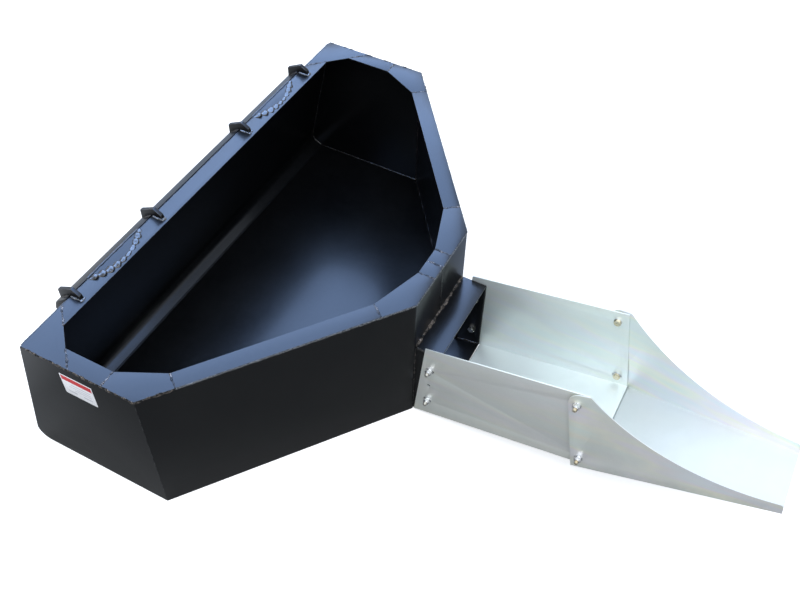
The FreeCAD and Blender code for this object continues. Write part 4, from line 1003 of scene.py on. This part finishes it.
gusset_runs = []
for side in (-1, 1):
    for near, far in GUSSETS:
        for face, sideways in ((near, -side), (far, side)):
            corner = (side * face, back_outside(LEDGE_TOP), LEDGE_TOP)
            gusset_runs += [
                dict(route=[corner, (side * face, back_outside(GUSSET_TOP - 4), GUSSET_TOP - 4)],
                     out=(sideways, 1, 0.2), width=5.0),
                dict(route=[corner, (side * face, LEDGE_END - 3, LEDGE_TOP)],
                     out=(sideways, 0, 1), width=5.0)]
weld("weld_gussets", gusset_runs)

# %% [markdown]
# ## Beads on the front wall and the spout
#
# Above the spout the front wall is two sheets butted at the middle. The spout's
# roof carries the heaviest bead on the hopper, a wide rippled one that fills the
# corner with the front wall; the spout's sides and floor have lighter ones.

# %% Front and spout beads
weld("weld_front_seam", [
    dict(route=[(0, FRONT, SPOUT_ROOF + 2), (0, FRONT, WALL_TOP - 1)], out=(0, -1, 0),
         width=5.0, proud=0.9, unsteady=0.18),
    dict(route=[(0, FRONT + SHEET, 292), (0, FRONT + SHEET, WALL_TOP - 1)], out=(0, 1, 0),
         width=5.0, proud=0.9)])
weld("weld_spout_roof", [dict(route=[(-151, FRONT, SPOUT_ROOF), (151, FRONT, SPOUT_ROOF)],
                              out=(0, -1, 1), width=15.0, proud=4.2, pitch=5.0, unsteady=0.24)],
     rim_weld_paint)
spout_floor_top = [FLOOR_TOP + SHEET + (FRONT - y) * SPOUT_FLOOR_SLOPE
                   for y in (SPOUT_MOUTH + 2, FRONT)]
spout_runs = []
for side in (-1, 1):
    spout_runs += [
        dict(route=[(side * SPOUT_HALF, FRONT, 8), (side * SPOUT_HALF, FRONT, 296)],
             out=(side, -1, 0), width=7.0, proud=2.0),
        dict(route=[(side * (SPOUT_HALF - 0.5), SPOUT_MOUTH + 2, 297.5),
                    (side * (SPOUT_HALF - 0.5), FRONT - 3, 297.5)],
             out=(side, 0, 0.6), width=5.0, proud=1.2),
        dict(route=[(side * 148.5, SPOUT_MOUTH + 2, spout_floor_top[0]),
                    (side * 148.5, FRONT, spout_floor_top[1])],
             out=(-side, 0, 1), width=8.0, proud=2.6, pitch=4.6, unsteady=0.2)]
weld("weld_spout_sides", spout_runs)

# %% [markdown]
# ## Beads on the loader mount
#
# Each tab plate is set into the back of the rim along a scalloped arc, and the
# bead there is thick and rope-like. Its route is read from the tab's own
# outline, and it is laid with dabs. Each ear has a bead on both sides and a lump
# at its toe, and the lip is tacked to the ears and to its end plates.

# %% Tab arcs


def tab_outline(node):
    """The tab's curved front edge on the rim's top, from one end to the other, in mm."""
    points = points_of(cad_nodes[node].data) / MM
    low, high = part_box(node)
    top = points[points[:, 2] > high.z / MM - 0.1]
    front = {}
    for x, y, z in top:
        key = round(float(x), 1)
        front[key] = min(front.get(key, 1e9), float(y))
    return [(x, front[x], RIM_TOP) for x in sorted(front) if front[x] < REAR + 0.5]


tab_runs = []
for node in ("mount_tab_left", "mount_tab_right"):
    outline = tab_outline(node)
    print(node, "outline points:", len(outline))
    tab_runs.append(dict(route=outline, out=(0, 0, 1), width=7.0, proud=2.2, pitch=23.0,
                         unsteady=0.26, model=dab))
weld("weld_tabs", tab_runs, dab_paint)

# %% Ear, lip and lip-end beads
EAR_TOE, EAR_HEEL = 821.0, 857.0
EARS = ((214.0, 226.0), (559.5, 571.5))
ear_runs = []
for side in (-1, 1):
    for near, far in EARS:
        for face, sideways in ((near, -side), (far, side)):
            ear_runs.append(dict(route=[(side * face, EAR_TOE, RIM_TOP),
                                        (side * face, EAR_HEEL, RIM_TOP)],
                                 out=(sideways, 0, 1), width=7.0, proud=2.4, pitch=4.4,
                                 unsteady=0.2))
        ear_runs.append(dict(route=[(side * (near - 3), EAR_TOE, RIM_TOP),
                                    (side * (far + 3), EAR_TOE, RIM_TOP)],
                             out=(0, -1, 1), width=9.0, proud=3.2, pitch=5.0, unsteady=0.25))
# The ear beads take the same grey, partly a painted reflection of the highlights on their toe
# lumps.
weld("weld_ears", ear_runs, ground_metal_and_reflection_paint)

LIP_FRONT, LIP_FALL, LIP_DEPTH = 863.0, 34.0 / 44.0, 10.16
LIP_END_FACES = (571.5, 579.5)
LIP_END_HEIGHTS = (396, 455)


def on_lip(x, y, below=0.0):
    return x, y, RIM_TOP - (y - LIP_FRONT) * LIP_FALL - below


lip_runs = []
for side in (-1, 1):
    for near, far in EARS:
        for face, sideways in ((near, -side), (far, side)):
            lip_runs.append(dict(route=[on_lip(side * face, 865), on_lip(side * face, 899)],
                                 out=(sideways, 0.6, 0.8), width=6.0, proud=1.8))
    for face, sideways in zip(LIP_END_FACES, (-side, side)):
        lip_runs += [
            dict(route=[(side * face, back_outside(z), z) for z in LIP_END_HEIGHTS],
                 out=(sideways, 1, 0.2), width=5.5),
            dict(route=[on_lip(side * face, 884, LIP_DEPTH), on_lip(side * face, 903, LIP_DEPTH)],
                 out=(sideways, -0.5, -0.8), width=5.5)]
    lip_runs.append(dict(route=[(side * 287, LIP_FRONT, RIM_TOP), (side * 503, LIP_FRONT, RIM_TOP)],
                         out=(0, 0.4, 1), width=6.5, proud=1.6))
weld("weld_lip", lip_runs)

# %% [markdown]
# ## Bolts: where they are
#
# Each CAD fastener node holds four separate solids. Their middles are read
# from the node by walking from point to point, so the detailed bolts and nuts
# land exactly in the holes of the sheets.

# %% Find the separate solids of a node


def solids_of(node):
    """The box of each separate solid in a CAD node: a list of (low, high), in metres."""
    piece = copy_of(cad_nodes[node], "reading_" + node)
    open_for_editing(piece)
    bpy.ops.mesh.select_all(action="SELECT")
    bpy.ops.mesh.remove_doubles(threshold=0.01 * MM)
    bpy.ops.mesh.separate(type="LOOSE")
    bpy.ops.object.mode_set(mode="OBJECT")
    found = []
    for part in list(bpy.context.selected_objects):
        points = points_of(part.data)
        found.append((Vector(points.min(axis=0)), Vector(points.max(axis=0))))
        bpy.data.objects.remove(part)
    return sorted(found, key=lambda box: tuple(round(c, 4) for c in box[0]))


for node in ("spout_bolts", "extension_bolts", "spout_nuts", "extension_nuts"):
    print(node, len(solids_of(node)), "solids")

# %% [markdown]
# ## Bolts: the hexagon
#
# A bolt head is a hexagon whose corners were turned off in a lathe, which
# leaves curved chamfers on the flats. Bevelling the hexagon's edges can't give
# them. A short round disc with a bevelled rim, crossed with the hexagon by a
# Boolean, cuts the same curves as the lathe.

# %% Chamfered hexagon and rounds
ACROSS_FLATS = 19.0 * MM
CORNER_RADIUS = ACROSS_FLATS / 2 / math.cos(math.pi / 6)


def round_bar(name, radius, start, end, sides=32):
    """A closed round bar along X from start to end."""
    clear_selection()
    bpy.ops.mesh.primitive_cylinder_add(vertices=sides, radius=radius, depth=end - start,
                                        location=((start + end) / 2, 0, 0),
                                        rotation=(0, math.pi / 2, 0))
    bar = bpy.context.object
    bar.name = name
    settle(bar)
    return bar


def round_rim(bar, at, radius, width, steps=2):
    """Bevels the circular edge of a bar at one of its ends."""
    select_where(bar, "EDGE", lambda co: abs(co.x - at) < 0.01 * MM
                 and math.hypot(co.y, co.z) > radius * 0.98)
    bpy.ops.mesh.bevel(offset=width, segments=steps, affect="EDGES")
    bpy.ops.object.mode_set(mode="OBJECT")


def cut_with(piece, tool, operation):
    crossing = piece.modifiers.new("crossing", "BOOLEAN")
    crossing.operation = operation
    crossing.solver = "EXACT"
    crossing.object = tool
    finish_modifiers(piece)
    bpy.data.objects.remove(tool)


def chamfered_hexagon(name, start, end, chamfer_start, chamfer_end):
    clear_selection()
    bpy.ops.mesh.primitive_cylinder_add(vertices=6, radius=CORNER_RADIUS, depth=end - start,
                                        location=((start + end) / 2, 0, 0),
                                        rotation=(0, math.pi / 2, 0))
    hexagon = bpy.context.object
    hexagon.name = name
    settle(hexagon)
    disc_radius = CORNER_RADIUS * 1.004
    disc = round_bar(name + "_disc", disc_radius, start, end, 48)
    if chamfer_start:
        round_rim(disc, start, disc_radius, 1.5 * MM, 1)
    if chamfer_end:
        round_rim(disc, end, disc_radius, 1.5 * MM, 1)
    cut_with(hexagon, disc, "INTERSECT")
    return hexagon


# %% [markdown]
# ## Bolts: shank and thread
#
# The thread shows only past the nut, but there it is what makes a bolt a
# bolt. A small triangle, swept by a Screw modifier with the pitch as its rise,
# gives a true helix; a stack of rings would look wrong from the side.

# %% Model a bolt and a nut
HEAD_HEIGHT = 7.5 * MM
SHANK_RADIUS = 6.0 * MM
THREAD_DEPTH = 0.95 * MM
THREAD_PITCH = 1.75 * MM
THREAD_TURNS = 12


def model_thread(end):
    """A helical ridge on the last turns before the bolt's end."""
    clear_selection()
    bpy.ops.mesh.primitive_circle_add(vertices=3, radius=1 * MM, fill_type="NOTHING")
    ridge = bpy.context.object
    ridge.name = "thread"
    root = SHANK_RADIUS - THREAD_DEPTH - 0.1 * MM
    start = end - (THREAD_TURNS + 1) * THREAD_PITCH - 0.8 * MM
    move_points(ridge.data, np.array([(start, 0, root),
                                      (start + THREAD_PITCH / 2, 0, SHANK_RADIUS - 0.05 * MM),
                                      (start + THREAD_PITCH * 0.98, 0, root)]))
    sweep = ridge.modifiers.new("helix", "SCREW")
    sweep.axis = "X"
    sweep.angle = 2 * math.pi
    sweep.screw_offset = THREAD_PITCH
    sweep.iterations = THREAD_TURNS
    sweep.steps = sweep.render_steps = 20
    finish_modifiers(ridge)
    open_for_editing(ridge)
    bpy.ops.mesh.select_non_manifold()
    bpy.ops.mesh.fill_holes(sides=0)
    bpy.ops.object.mode_set(mode="OBJECT")
    face_outwards(ridge)
    return ridge


def model_bolt(name, length):
    """Head from -HEAD_HEIGHT to 0, shank from 0 to length, along X."""
    head = chamfered_hexagon(name + "_head", -HEAD_HEIGHT, 0.0, True, False)
    washer_face = round_bar(name + "_washer_face", ACROSS_FLATS * 0.47, -0.4 * MM, 0.0, 32)
    grip = length - (THREAD_TURNS + 0.6) * THREAD_PITCH
    shank = round_bar(name + "_shank", SHANK_RADIUS, -1.0 * MM, grip, 24)
    round_rim(shank, grip, SHANK_RADIUS, 0.6 * MM, 1)
    core = round_bar(name + "_core", SHANK_RADIUS - THREAD_DEPTH, grip - 2 * MM, length, 24)
    round_rim(core, length, SHANK_RADIUS - THREAD_DEPTH, 0.7 * MM, 2)
    bolt = join_all([head, washer_face, shank, core, model_thread(length)], name)
    smooth(bolt, 25)
    return bolt


NUT_HEIGHT = 12.0 * MM
COLLAR_HEIGHT = 3.4 * MM
COLLAR_RADIUS = 8.4 * MM
BORE_RADIUS = 6.1 * MM


def model_lock_nut(name):
    """A nut along X from 0 to NUT_HEIGHT, with the round collar of a lock nut outside."""
    hexagon = chamfered_hexagon(name, 0.0, NUT_HEIGHT - COLLAR_HEIGHT, True, True)
    bore = round_bar(name + "_bore", BORE_RADIUS, -2 * MM, NUT_HEIGHT + 2 * MM, 32)
    cut_with(hexagon, bore, "DIFFERENCE")
    collar = round_bar(name + "_collar", COLLAR_RADIUS, NUT_HEIGHT - COLLAR_HEIGHT - 0.5 * MM,
                       NUT_HEIGHT, 40)
    round_rim(collar, NUT_HEIGHT, COLLAR_RADIUS, 1.5 * MM, 4)
    bore = round_bar(name + "_bore", BORE_RADIUS, -2 * MM, NUT_HEIGHT + 2 * MM, 32)
    cut_with(collar, bore, "DIFFERENCE")
    nut = join_all([hexagon, collar], name)
    smooth(nut, 25)
    return nut


def set_in_place(template, name, bearing, middle, side, turned):
    """A copy of the template, turned about its axis, pointing away from the centre plane."""
    twin = copy_of(template, name)
    points = points_of(twin.data)
    c, s = math.cos(turned), math.sin(turned)
    turned_points = np.column_stack([points[:, 0], c * points[:, 1] - s * points[:, 2],
                                     s * points[:, 1] + c * points[:, 2]])
    if side < 0:
        turned_points[:, :2] *= -1
    move_points(twin.data, turned_points + np.array([bearing, middle[0], middle[1]]))
    return twin


# %% [markdown]
# ## Bolts: fit them
#
# One bolt is modelled for each grip length, and one lock nut for all. Every
# copy has its own mesh and its own turn, because nobody lines up the flats.

# %% Fit bolts and nuts


def fit_fasteners(joint, body, bolt_metal):
    bolts, nuts = solids_of(joint + "_bolts"), solids_of(joint + "_nuts")
    length = bolts[0][1].x - bolts[0][0].x - HEAD_HEIGHT
    bolt, nut = model_bolt(joint + "_bolt", length), model_lock_nut(joint + "_nut")
    set_bolts, set_nuts = [], []
    for index, (low, high) in enumerate(bolts):
        side = 1 if low.x > 0 else -1
        bearing = low.x + HEAD_HEIGHT if side > 0 else high.x - HEAD_HEIGHT
        middle = ((low.y + high.y) / 2, (low.z + high.z) / 2)
        set_bolts.append(set_in_place(bolt, "bolt", bearing, middle, side, 0.4 + 1.3 * index))
    for index, (low, high) in enumerate(nuts):
        side = 1 if low.x > 0 else -1
        bearing = low.x if side > 0 else high.x
        middle = ((low.y + high.y) / 2, (low.z + high.z) / 2)
        set_nuts.append(set_in_place(nut, "nut", bearing, middle, side, 0.9 + 0.8 * index))
    bpy.data.objects.remove(bolt)
    bpy.data.objects.remove(nut)
    hand_over(join_all(set_bolts, joint + "_threaded_bolts"), body, "yellow_zinc_bolt",
              bolt_metal, joint + "_bolts")
    hand_over(join_all(set_nuts, joint + "_lock_nuts"), body, "bright_zinc_fastener",
              bright_zinc, joint + "_nuts")
    print(joint, "bolt length", round(length / MM, 1), "mm, 4 bolts and 4 nuts")


# The spout's bolts take the paler copy of the yellow zinc: a painted reflection.
fit_fasteners("spout", body_of["spout_bolts"], reflection_paled_zinc)
fit_fasteners("extension", body_of["extension_bolts"], yellow_zinc)

# %% [markdown]
# ## Label
#
# A vinyl label sits high on the left end wall. The maker's words are left
# out: it keeps a red band and a few grey bars, drawn by the material from the
# place on the label. The vinyl itself is modelled: a plane with rounded corners,
# given its thickness, with the edge rounded over.

# %% Label material
LABEL_Y = (640.5 * MM, 744.5 * MM)
LABEL_Z = (366.0 * MM, 450.0 * MM)
LABEL_X = -762.05 * MM
LABEL_PAPER = (0.90, 0.90, 0.92, 1)
LABEL_SOILED = (0.82, 0.82, 0.84, 1)
LABEL_GREY = (0.62, 0.62, 0.66, 1)
LABEL_RED = (0.55, 0.035, 0.040, 1)
# Each grey bar: low and high edge up the label, then its start and end across it, as shares.
GREY_BARS = ((0.56, 0.61, 0.12, 0.72), (0.44, 0.48, 0.12, 0.80), (0.33, 0.37, 0.12, 0.64),
             (0.16, 0.24, 0.12, 0.40), (0.16, 0.24, 0.60, 0.88))


def band(tree, value, low, high):
    """1 where the value lies between low and high."""
    return maths(tree, "MULTIPLY", maths(tree, "GREATER_THAN", value, low),
                 maths(tree, "LESS_THAN", value, high))


label_vinyl, tree, place = start_material("label_vinyl")
split = add(tree, "SeparateXYZ", {0: place})
across = stretch_range(tree, split.outputs["Y"], LABEL_Y[0], LABEL_Y[1])
up = stretch_range(tree, split.outputs["Z"], LABEL_Z[0], LABEL_Z[1])
within = band(tree, across, 0.03, 0.97)
grey_rows = None
for low, high, start, end in GREY_BARS:
    row = maths(tree, "MULTIPLY", band(tree, up, low, high), band(tree, across, start, end))
    grey_rows = row if grey_rows is None else maths(tree, "MAXIMUM", grey_rows, row)
red_band = maths(tree, "MULTIPLY", band(tree, up, 0.72, 0.95), within)
soiled = use_group(tree, cloud_group, {"Place": place, "Scale": 30.0}).outputs["Mask"]
paper = blend_colours(tree, soiled, LABEL_PAPER, LABEL_SOILED)
printed = blend_colours(tree, grey_rows, paper, LABEL_GREY)
printed = blend_colours(tree, red_band, printed, LABEL_RED)
gloss = stretch_range(tree, soiled, 0.0, 1.0, 0.32, 0.45)
fine = use_group(tree, skin_group, {"Place": place, "Pebble Scale": 900.0}).outputs["Height"]
bump = add(tree, "Bump", {"Height": fine, "Strength": 0.15, "Distance": 0.1 * MM})
end_material(tree, add(tree, "BsdfPrincipled", {
    "Base Color": printed, "Roughness": gloss, "Normal": bump.outputs[0]}))
print("material", label_vinyl.name)

# %% Model the label
clear_selection()
bpy.ops.mesh.primitive_plane_add(size=1, rotation=(0, -math.pi / 2, 0),
                                 location=(LABEL_X, sum(LABEL_Y) / 2, sum(LABEL_Z) / 2))
label = bpy.context.object
label.name = "label"
label.scale = (LABEL_Z[1] - LABEL_Z[0], LABEL_Y[1] - LABEL_Y[0], 1)
settle(label)
open_for_editing(label)
bpy.ops.mesh.select_all(action="SELECT")
bpy.ops.mesh.bevel(offset=2 * MM, segments=6, affect="VERTICES")
bpy.ops.object.mode_set(mode="OBJECT")
thickness = label.modifiers.new("vinyl", "SOLIDIFY")
thickness.thickness = 0.35 * MM
thickness.offset = 1
edge = label.modifiers.new("edge", "BEVEL")
edge.width = 0.12 * MM
edge.segments = 2
edge.limit_method = "ANGLE"
finish_modifiers(label)
smooth(label, 40)
hand_over(label, body_of["safety_label"], "label_vinyl", label_vinyl, "safety_label")
print("label box x", [round(p, 4) for p in (points_of(label.data)[:, 0].min(),
                                            points_of(label.data)[:, 0].max())])

# %% [markdown]
# ## Floor, sky and lamps
#
# Black gloss paint shows whatever is around it, so the light is really a choice
# of what to reflect. This stage is fitted to one view, and is not a plain studio:
# the floor looks pale to the camera, but is darker in reflections and in bounced
# light, with a paler area behind and a bluish one to the right. Two cool panels
# light only the black paint and one lights only the zinc; the key panel and the
# world light everything. A plain floor and unlinked lamps would be simpler, and
# are what to use to show the materials for themselves.

# %% Floor
FLOOR_SEEN = ((0.90, 0.90, 0.90, 1), (0.92, 0.92, 0.92, 1))
FLOOR_REFLECTED = ((0.245, 0.245, 0.24, 1), (0.265, 0.265, 0.26, 1))
FLOOR_BEHIND = (0.80, 0.80, 0.80, 1)
FLOOR_RIGHT = (0.46, 0.52, 0.62, 1)
BLACK, WHITE = (0, 0, 0, 1), (1, 1, 1, 1)
clear_selection()
bpy.ops.mesh.primitive_plane_add(size=40, location=(0, 0, -1 * MM))
floor = bpy.context.object
floor.name = "studio_floor"
settle(floor)
floor_finish, tree, place = start_material("studio_floor")
straight_on = add(tree, "LightPath").outputs["Is Camera Ray"]
mottled = noise(tree, place, 3.0, 2.0)
seen = blend_colours(tree, mottled, *FLOOR_SEEN)
reflected = blend_colours(tree, mottled, *FLOOR_REFLECTED)
on_floor = add(tree, "SeparateXYZ", {0: place})
behind = stretch_range(tree, on_floor.outputs["Y"], 1.1, 1.5)
reflected = blend_colours(tree, behind, reflected, FLOOR_BEHIND)
to_right = stretch_range(tree, on_floor.outputs["X"], 0.22, 0.40)
reflected = blend_colours(tree, to_right, reflected, FLOOR_RIGHT)
end_material(tree, add(tree, "BsdfPrincipled", {
    "Base Color": blend_colours(tree, straight_on, reflected, seen),
    "Emission Color": blend_colours(tree, straight_on, BLACK, WHITE),
    "Emission Strength": 0.45,
    "Roughness": stretch_range(tree, mottled, 0.0, 1.0, 0.85, 0.95),
    "Specular IOR Level": 0.2}))
floor.data.materials.append(floor_finish)

# %% World and lamps
SKY_LEVEL = (1.0, 1.0, 1.0, 1)
SKY_UP = (0.85, 0.95, 1.10, 1)
world = bpy.data.worlds.new("studio")
bpy.context.scene.world = world
world.use_nodes = True
tree = world.node_tree
tree.nodes.clear()
height = add(tree, "SeparateXYZ", {0: add(tree, "TexCoord").outputs["Generated"]}).outputs["Z"]
sky = blend_colours(tree, stretch_range(tree, height, 0.0, 0.9), SKY_LEVEL, SKY_UP)
background = add(tree, "Background", {"Color": sky, "Strength": 1.25})
output = tree.nodes.new("ShaderNodeOutputWorld")
tree.links.new(background.outputs[0], output.inputs["Surface"])


def soft_panel(name, middle, faces, size, radiance, colour, seen_by=None, turned=0.0):
    """A soft box at a place in metres. With seen_by, a list of slots, only their pieces
    reflect it, and it lights nothing else."""
    clear_selection()
    bpy.ops.object.light_add(type="AREA", location=middle)
    panel = bpy.context.object
    panel.name = name
    way = Vector(faces) - Vector(middle)
    facing = way.to_track_quat("-Z", "Y").to_matrix()
    panel.rotation_euler = (Matrix.Rotation(turned, 3, "Z") @ facing).to_euler()
    panel.data.shape = "RECTANGLE"
    panel.data.size, panel.data.size_y = size
    panel.data.energy = radiance * math.pi * size[0] * size[1]
    panel.data.color = colour
    panel.visible_camera = False
    if seen_by:
        panel.visible_diffuse = False
        receivers = bpy.data.collections.new(name + "_receivers")
        for slot in seen_by:
            for piece in pieces_of_slot[slot]:
                receivers.objects.link(piece)
        panel.light_linking.receiver_collection = receivers


ZINC_SLOTS = ["zinc_sheet", "bright_zinc_fastener", "yellow_zinc_bolt"]
COOL_BLUE = (0.32, 0.53, 1.0)
COOL_WHITE = (0.85, 0.94, 1.0)
WARM_WHITE = (1.0, 0.99, 0.97)
AT_HOPPER = (0.0, 0.25, 0.3)
soft_panel("panel_on_paint", (3.36, 4.25, 4.0), (3.36, 4.25, 0.0), (10.0, 7.0), 10.1, COOL_BLUE,
           ["black_paint"], math.radians(20))
soft_panel("panel_overhead", (0.3, -0.45, 4.0), (0.3, -0.45, 0.0), (1.8, 1.3), 8.0, COOL_BLUE,
           ["black_paint"])
soft_panel("panel_on_zinc", (2.5, 0.75, 3.6), AT_HOPPER, (8.0, 8.0), 0.38, COOL_WHITE, ZINC_SLOTS)
soft_panel("key_panel", (-2.3, -0.9, 4.6), AT_HOPPER, (3.0, 3.0), 2.4, WARM_WHITE)
bpy.context.scene.view_settings.view_transform = "Standard"
bpy.context.scene.view_settings.look = "None"
print("stage ready")

# %% [markdown]
# ## Finish
#
# The templates are removed, and the pieces and triangles are counted.

# %% Finish
bpy.data.objects.remove(ripple)
bpy.data.objects.remove(dab)
clear_selection()
triangles = sum(sum(len(f.vertices) - 2 for f in p.data.polygons) for p in pieces_made)
print("pieces:", len(pieces_made), "triangles:", triangles)
